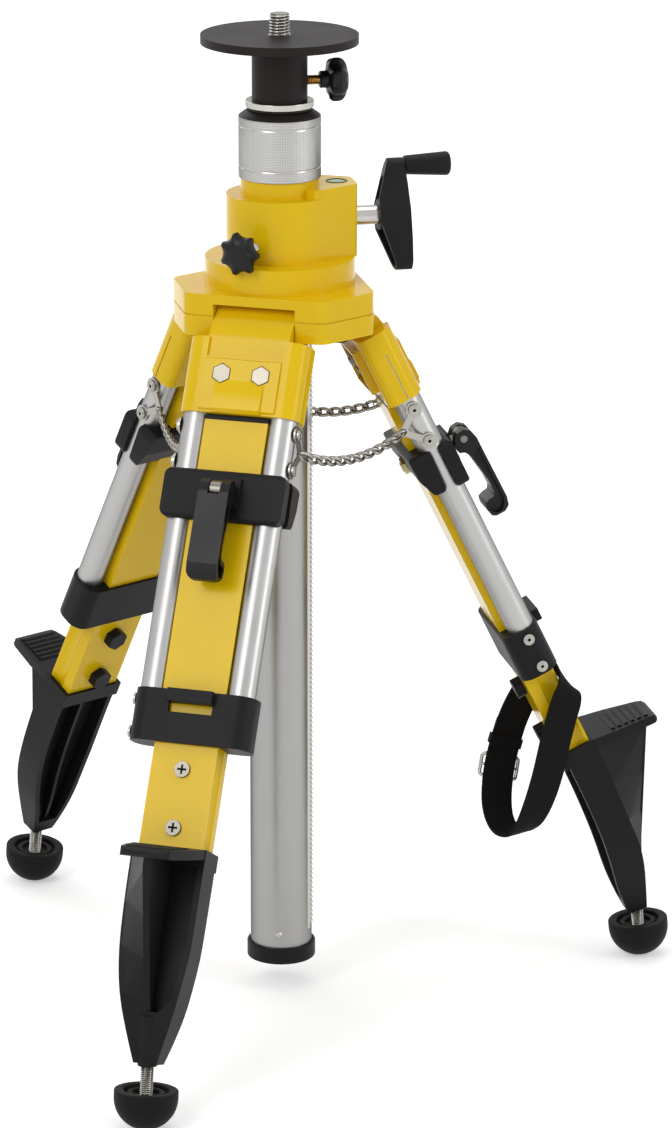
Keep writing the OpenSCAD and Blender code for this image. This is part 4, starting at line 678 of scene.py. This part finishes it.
# Spread chains: twisted curb links on a hanging line from each leg to the next, in two halves


def curb_link(pitch, steps=28, sides=8):
    """Link with its middle at the origin along X, twisted from end to end."""
    half = pitch / 2 + LINK_OVERLAP * WIRE_R
    end_power, side_power = 0.75, 0.8
    line = []
    for k in range(steps):
        c, d = math.cos(around(k, steps)), math.sin(around(k, steps))
        x = half * math.copysign(abs(c) ** end_power, c)
        y = LINK_HALF_W * math.copysign(abs(d) ** side_power, d)
        twist = math.radians(LINK_TWIST) * x / half
        line.append(Vector((x, y * math.cos(twist), y * math.sin(twist))))
    verts, faces = [], []
    for k, p in enumerate(line):
        along = (line[(k + 1) % steps] - line[k - 1]).normalized()
        out = (p - along * p.dot(along)).normalized()
        side = along.cross(out)
        for j in range(sides):
            b = around(j, sides)
            verts.append(tuple(p + WIRE_R * (math.cos(b) * out + math.sin(b) * side)))
        n = (k + 1) % steps
        for j in range(sides):
            m = (j + 1) % sides
            faces.append((k * sides + j, n * sides + j, n * sides + m, k * sides + m))
    return verts, faces


def chain_point(a, b, u):
    return a + (b - a) * u - Vector((0, 0, 4 * CHAIN_SAG * u * (1 - u)))


def make_chain(leg, other):
    to_mm = Matrix.Scale(1 / MM, 4)
    a = to_mm @ leg_frame(leg) @ Vector((-APEX_IN, CHAIN_PLATE_Y, -APEX_S))
    b = to_mm @ leg_frame(other) @ Vector((-APEX_IN, -CHAIN_PLATE_Y, -APEX_S))
    links = []
    for k in range(CHAIN_LINKS):
        p, q = chain_point(a, b, k / CHAIN_LINKS), chain_point(a, b, (k + 1) / CHAIN_LINKS)
        x = (q - p).normalized()
        y = Vector((0, 0, 1)).cross(x).normalized()
        basis = Matrix((x, y, x.cross(y))).transposed().to_4x4()
        place = Matrix.Translation((p + q) / 2) @ basis @ turn(90, "X")
        links.append(placed(curb_link((q - p).length), place))
    half = CHAIN_LINKS // 2 + 1
    for label, group, owner, end in (("start", links[:half], leg, a), ("finish", links[half:], other, b)):
        chain = add(f"chain_{leg}_{label}", *joined(*group), nickel, None, slot="nickel_chain", angle=180)
        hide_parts("spread_chains")
        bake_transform(chain)


leg_names = list(LEGS)
for i, leg in enumerate(leg_names):
    make_chain(leg, leg_names[(i + 1) % len(leg_names)])

# Carrying strap: a loop of webbing over the right leg, with its overlap, keeper and buckle. Each stop has a
# place in the leg's frame and the way that the webbing faces there.
STRAP = [
    ((13.4, -12, -331), (1, 0, 0)), ((13.4, 0, -328.5), (1, 0, 0)), ((13.4, 12, -330), (1, 0, 0)),
    ((13.2, 28, -335), (0.7, 0.7, 0)), ((2.5, 32, -341), (0, 1, 0)), ((-14, 32, -350), (0, 1, 0)),
    ((-30, 32, -362), (0, 1, 0)), ((-45, 31, -377), (0, 1, 0)), ((-60, 28, -394), (-0.1, 0.95, -0.2)),
    ((-73, 20, -411), (-0.3, 0.8, -0.5)), ((-80, 9, -424), (-0.5, 0.45, -0.7)),
    ((-80, -3, -433), (-0.4, -0.1, -0.9)), ((-73, -13, -435), (0, -0.6, -0.8)),
    ((-62, -22, -427), (0.1, -0.9, -0.4)), ((-48, -28.5, -412), (0, -1, -0.2)),
    ((-33, -32, -394), (0, -1, 0)), ((-18, -32, -375), (0, -1, 0)), ((-4, -32, -358), (0, -1, 0)),
    ((6.5, -32.4, -346), (0.1, -1, 0)), ((13.4, -28.2, -338), (0.7, -0.7, 0)),
]
STRAP_SECTION = [
    (-1, -0.55), (-0.985, -1), (-0.5, -0.9), (0, -1), (0.5, -0.9), (0.985, -1), (1, -0.55),
    (1, 0.55), (0.985, 1), (0.5, 0.9), (0, 1), (-0.5, 0.9), (-0.985, 1), (-1, 0.55),
]
BUCKLE_AT, BUCKLE_LIFT, BUCKLE_HALF, BUCKLE_CORNER = 8.0, 1.6, (9.0, 15.2), 3.0


def curve_at(values, t):
    """Smooth closed curve through the values; t counts them."""
    n = len(values)
    k, u = int(math.floor(t)) % n, t - math.floor(t)
    p = [Vector(values[(k + j) % n]) for j in (-1, 0, 1, 2)]
    return 0.5 * (2 * p[1] + (p[2] - p[0]) * u + (2 * p[0] - 5 * p[1] + 4 * p[2] - p[3]) * u * u
                  + (3 * p[1] - p[0] - 3 * p[2] + p[3]) * u ** 3)


def strap_frame(t, lift=0.0):
    """Place on the strap, lifted off its face, with the ways along it, across it and out of its face."""
    points, ways = [p for p, _ in STRAP], [w for _, w in STRAP]
    along = (curve_at(points, t + 0.02) - curve_at(points, t - 0.02)).normalized()
    side = along.cross(curve_at(ways, t)).normalized()
    face = side.cross(along).normalized()
    return curve_at(points, t) + face * lift, along, side, face


def ribbon(name, t0, t1, rings, width, thick, lift=0.0, closed=False):
    """Webbing along the strap from t0 to t1, with its length and width as coordinates for the weave."""
    verts, faces, marks, gone, last = [], [], [], 0.0, None
    count = rings if closed else rings + 1
    n = len(STRAP_SECTION)
    for k in range(count):
        p, along, side, face = strap_frame(t0 + (t1 - t0) * k / rings, lift)
        gone += (p - last).length if last else 0
        last = p
        marks.append(gone)
        verts += [tuple(p + side * u * width / 2 + face * v * thick / 2) for u, v in STRAP_SECTION]
    marks.append(gone + gone / max(1, count - 1))
    for k in range(count if closed else count - 1):
        a, b = k * n, ((k + 1) % count) * n
        faces += [(a + j, b + j, b + (j + 1) % n, a + (j + 1) % n) for j in range(n)]
    if not closed:
        faces += [tuple(range(n)), tuple((count - 1) * n + j for j in range(n))[::-1]]
    piece = add(name, verts, faces, webbing, "right_lower_leg", matrix=leg_frame("right"), slot="webbing",
                angle=60)
    layer = piece.data.uv_layers.new(name="ribbon")
    for polygon in piece.data.polygons:
        ks = [v // n for v in polygon.vertices]
        wraps = closed and max(ks) - min(ks) > 1
        for loop, v in zip(polygon.loop_indices, polygon.vertices):
            k, j = v // n, v % n
            mark = marks[-1] if wraps and k == 0 else marks[k]
            layer.data[loop].uv = (mark, STRAP_SECTION[j][0] * width / 2)
    return piece


def bent_wire(points, r, closed=True, sides=10):
    n = len(points)
    verts, faces = [], []
    for k, p in enumerate(points):
        a = points[(k + 1) % n] if closed or k < n - 1 else p
        b = points[k - 1] if closed or k > 0 else p
        along = (a - b).normalized()
        out = along.orthogonal().normalized() if k == 0 else (last - along * last.dot(along)).normalized()
        last = out
        side = along.cross(out)
        turns = [around(j, sides) for j in range(sides)]
        verts += [tuple(p + r * (math.cos(t) * out + math.sin(t) * side)) for t in turns]
    for k in range(n if closed else n - 1):
        a, b = k * sides, (k + 1) % n * sides
        faces += [(a + j, a + (j + 1) % sides, b + (j + 1) % sides, b + j) for j in range(sides)]
    if not closed:
        faces += [tuple(range(sides))[::-1], tuple((n - 1) * sides + j for j in range(sides))]
    return verts, faces


def make_buckle():
    """Frame of bent wire with its bar and prong."""
    p, along, side, face = strap_frame(BUCKLE_AT, BUCKLE_LIFT)
    half_l, half_w = BUCKLE_HALF
    bulge = 0.9
    outline = []
    for cx, cy, start in ((1, 1, 0), (-1, 1, 90), (-1, -1, 180), (1, -1, 270)):
        for k in range(6):
            a = math.radians(start + 90 * k / 5)
            outline.append(((half_l - BUCKLE_CORNER) * cx + BUCKLE_CORNER * math.cos(a),
                            (half_w - BUCKLE_CORNER) * cy + BUCKLE_CORNER * math.sin(a)))
    rise = [bulge * math.sin(math.pi * abs(x) / half_l) for x, _ in outline]
    ring = [p + along * x + side * y + face * z for (x, y), z in zip(outline, rise)]
    bar = [p + side * y for y in (-half_w, -half_w / 2, 0, half_w / 2, half_w)]
    prong_line = ((-1.6, 0.4), (0, 1.9), (3, 2.6), (7, 2.6), (9.6, 2.2), (10.4, 1.6))
    prong = [p + along * x + face * z for x, z in prong_line]
    wires = joined(bent_wire(ring, 1.5), bent_wire(bar, 1.2, closed=False),
                   bent_wire(prong, 1.0, closed=False))
    return add("strap_buckle_frame", *wires, steel, "right_lower_leg", matrix=leg_frame("right"),
               slot="bright_steel", replaces=["strap_buckle"], angle=60)


def make_strap():
    """The strap's loop, tail, keeper and buckle, carried by the right leg's lower part."""
    loop = ribbon("strap_loop", 0, len(STRAP), 200, STRAP_W, STRAP_T, closed=True)
    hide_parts("strap")
    tail = ribbon("strap_tail", 6.3, 8.6, 30, STRAP_W - 0.6, 1.5, lift=2.1)
    keeper = ribbon("strap_keeper", 6.9, 7.25, 6, STRAP_W + 2.4, 6.6, lift=1.0)
    for piece in (loop, tail, keeper, make_buckle()):
        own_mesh(piece)


make_strap()

# Stage, in metres: a pale floor, soft light and a white background
FLOOR_SIZE, FLOOR_COLOR, FLOOR_GLOW, GLOW_REACH = 9.0, (0.86, 0.86, 0.86), (0.4, 0.7), (0.9, 3.0)
SKY_LOW, SKY_HIGH, SKY_STRENGTH = (0.5, 0.5, 0.5), (0.62, 0.62, 0.62), 0.75
LAMP_AIM = (0, 0, -0.35)
LAMPS = {
    "key": ((-2.2, -2.0, 1.6), (1.4, 2.0), 38),
    "fill": ((2.4, -1.6, 0.9), (0.9, 2.2), 22),
    "top": ((0.2, 0.4, 2.6), (2.2, 2.2), 24),
    "back": ((-1.2, 2.6, 1.0), (1.6, 1.6), 15),
}
CAMERA_AT, CAMERA_AZIMUTH, CAMERA_PITCH, CAMERA_ROLL = (-0.7207, -3.5647, 0.6581), 77.89, -16.47, 0.084
CAMERA_LENS, CAMERA_SENSOR = 155.43, 36.0


def seen_rays(tree):
    """1 for rays that show the stage to the camera, directly or in a reflection or a pane, else 0."""
    path = node_of(tree, "LightPath").outputs
    seen = node_of(tree, "Math", {0: path["Is Camera Ray"], 1: path["Is Glossy Ray"]}, operation="ADD")
    rays = {0: seen.outputs[0], 1: path["Is Transmission Ray"]}
    return node_of(tree, "Math", rays, operation="ADD").outputs[0]


def floor_material():
    """Pale floor that glows more the further it lies from the part, so that it meets the background."""
    material, tree, shader = new_material("floor_white")
    shader.inputs["Base Color"].default_value = rgba(FLOOR_COLOR)
    shader.inputs["Roughness"].default_value = 0.9
    point = node_of(tree, "TexCoord").outputs["Object"]
    away = node_of(tree, "VectorMath", {0: point}, operation="LENGTH").outputs["Value"]
    level = node_of(tree, "MapRange", {
        "Value": away, "From Min": GLOW_REACH[0], "From Max": GLOW_REACH[1],
        "To Min": FLOOR_GLOW[0], "To Max": FLOOR_GLOW[1],
    }, interpolation_type="SMOOTHSTEP")
    power = node_of(tree, "Math", {0: seen_rays(tree), 1: level.outputs[0]}, operation="MULTIPLY")
    shader.inputs["Emission Color"].default_value = (1, 1, 1, 1)
    tree.links.new(power.outputs[0], shader.inputs["Emission Strength"])
    return material


def make_floor():
    corners = [(x * FLOOR_SIZE, y * FLOOR_SIZE, 0) for x, y in ((-1, -1), (1, -1), (1, 1), (-1, 1))]
    floor = add("floor", corners, [(0, 1, 2, 3)], floor_material(), None,
                matrix=Matrix.Translation((0, 0, FLOOR_Z * MM)))


def make_world():
    world = bpy.data.worlds.new("studio")
    bpy.context.scene.world = world
    world.use_nodes = True
    tree = world.node_tree
    tree.nodes.clear()
    way = node_of(tree, "TexCoord").outputs["Generated"]
    height = node_of(tree, "SeparateXYZ", {0: way}).outputs["Z"]
    fac = node_of(tree, "MapRange", {"Value": height, "From Min": -1.0}).outputs[0]
    ramp = node_of(tree, "ValToRGB", {"Fac": fac})
    ramp.color_ramp.elements[0].color = rgba(SKY_LOW)
    ramp.color_ramp.elements[1].color = rgba(SKY_HIGH)
    light = node_of(tree, "Background", {"Color": ramp.outputs["Color"], "Strength": SKY_STRENGTH})
    white = node_of(tree, "Background", {"Color": (1, 1, 1, 1), "Strength": 1.0})
    mix = node_of(tree, "MixShader", {0: seen_rays(tree), 1: light.outputs[0], 2: white.outputs[0]})
    node_of(tree, "OutputWorld", {"Surface": mix.outputs[0]})


def make_lamps():
    for name, (place, size, power) in LAMPS.items():
        data = bpy.data.lights.new(name, "AREA")
        data.shape = "RECTANGLE"
        data.size, data.size_y = size
        data.energy = power
        lamp = bpy.data.objects.new(name, data)
        bpy.context.scene.collection.objects.link(lamp)
        lamp.location = place
        lamp.rotation_euler = (Vector(LAMP_AIM) - Vector(place)).to_track_quat("-Z", "Y").to_euler()


def make_camera():
    azimuth, pitch, roll = (math.radians(v) for v in (CAMERA_AZIMUTH, CAMERA_PITCH, CAMERA_ROLL))
    level = math.cos(pitch)
    ahead = Vector((math.cos(azimuth) * level, math.sin(azimuth) * level, math.sin(pitch)))
    right = Vector((math.sin(azimuth), -math.cos(azimuth), 0))
    up = right.cross(ahead)
    x = math.cos(roll) * right + math.sin(roll) * up
    y = math.cos(roll) * up - math.sin(roll) * right
    data = bpy.data.cameras.new("camera")
    data.lens, data.sensor_width = CAMERA_LENS, CAMERA_SENSOR
    camera = bpy.data.objects.new("camera", data)
    bpy.context.scene.collection.objects.link(camera)
    basis = Matrix((x, y, -ahead)).transposed().to_4x4()
    camera.matrix_world = Matrix.Translation(CAMERA_AT) @ basis
    bpy.context.scene.camera = camera


make_floor()
make_world()
make_lamps()
make_camera()
bpy.context.scene.view_settings.view_transform = "Standard"
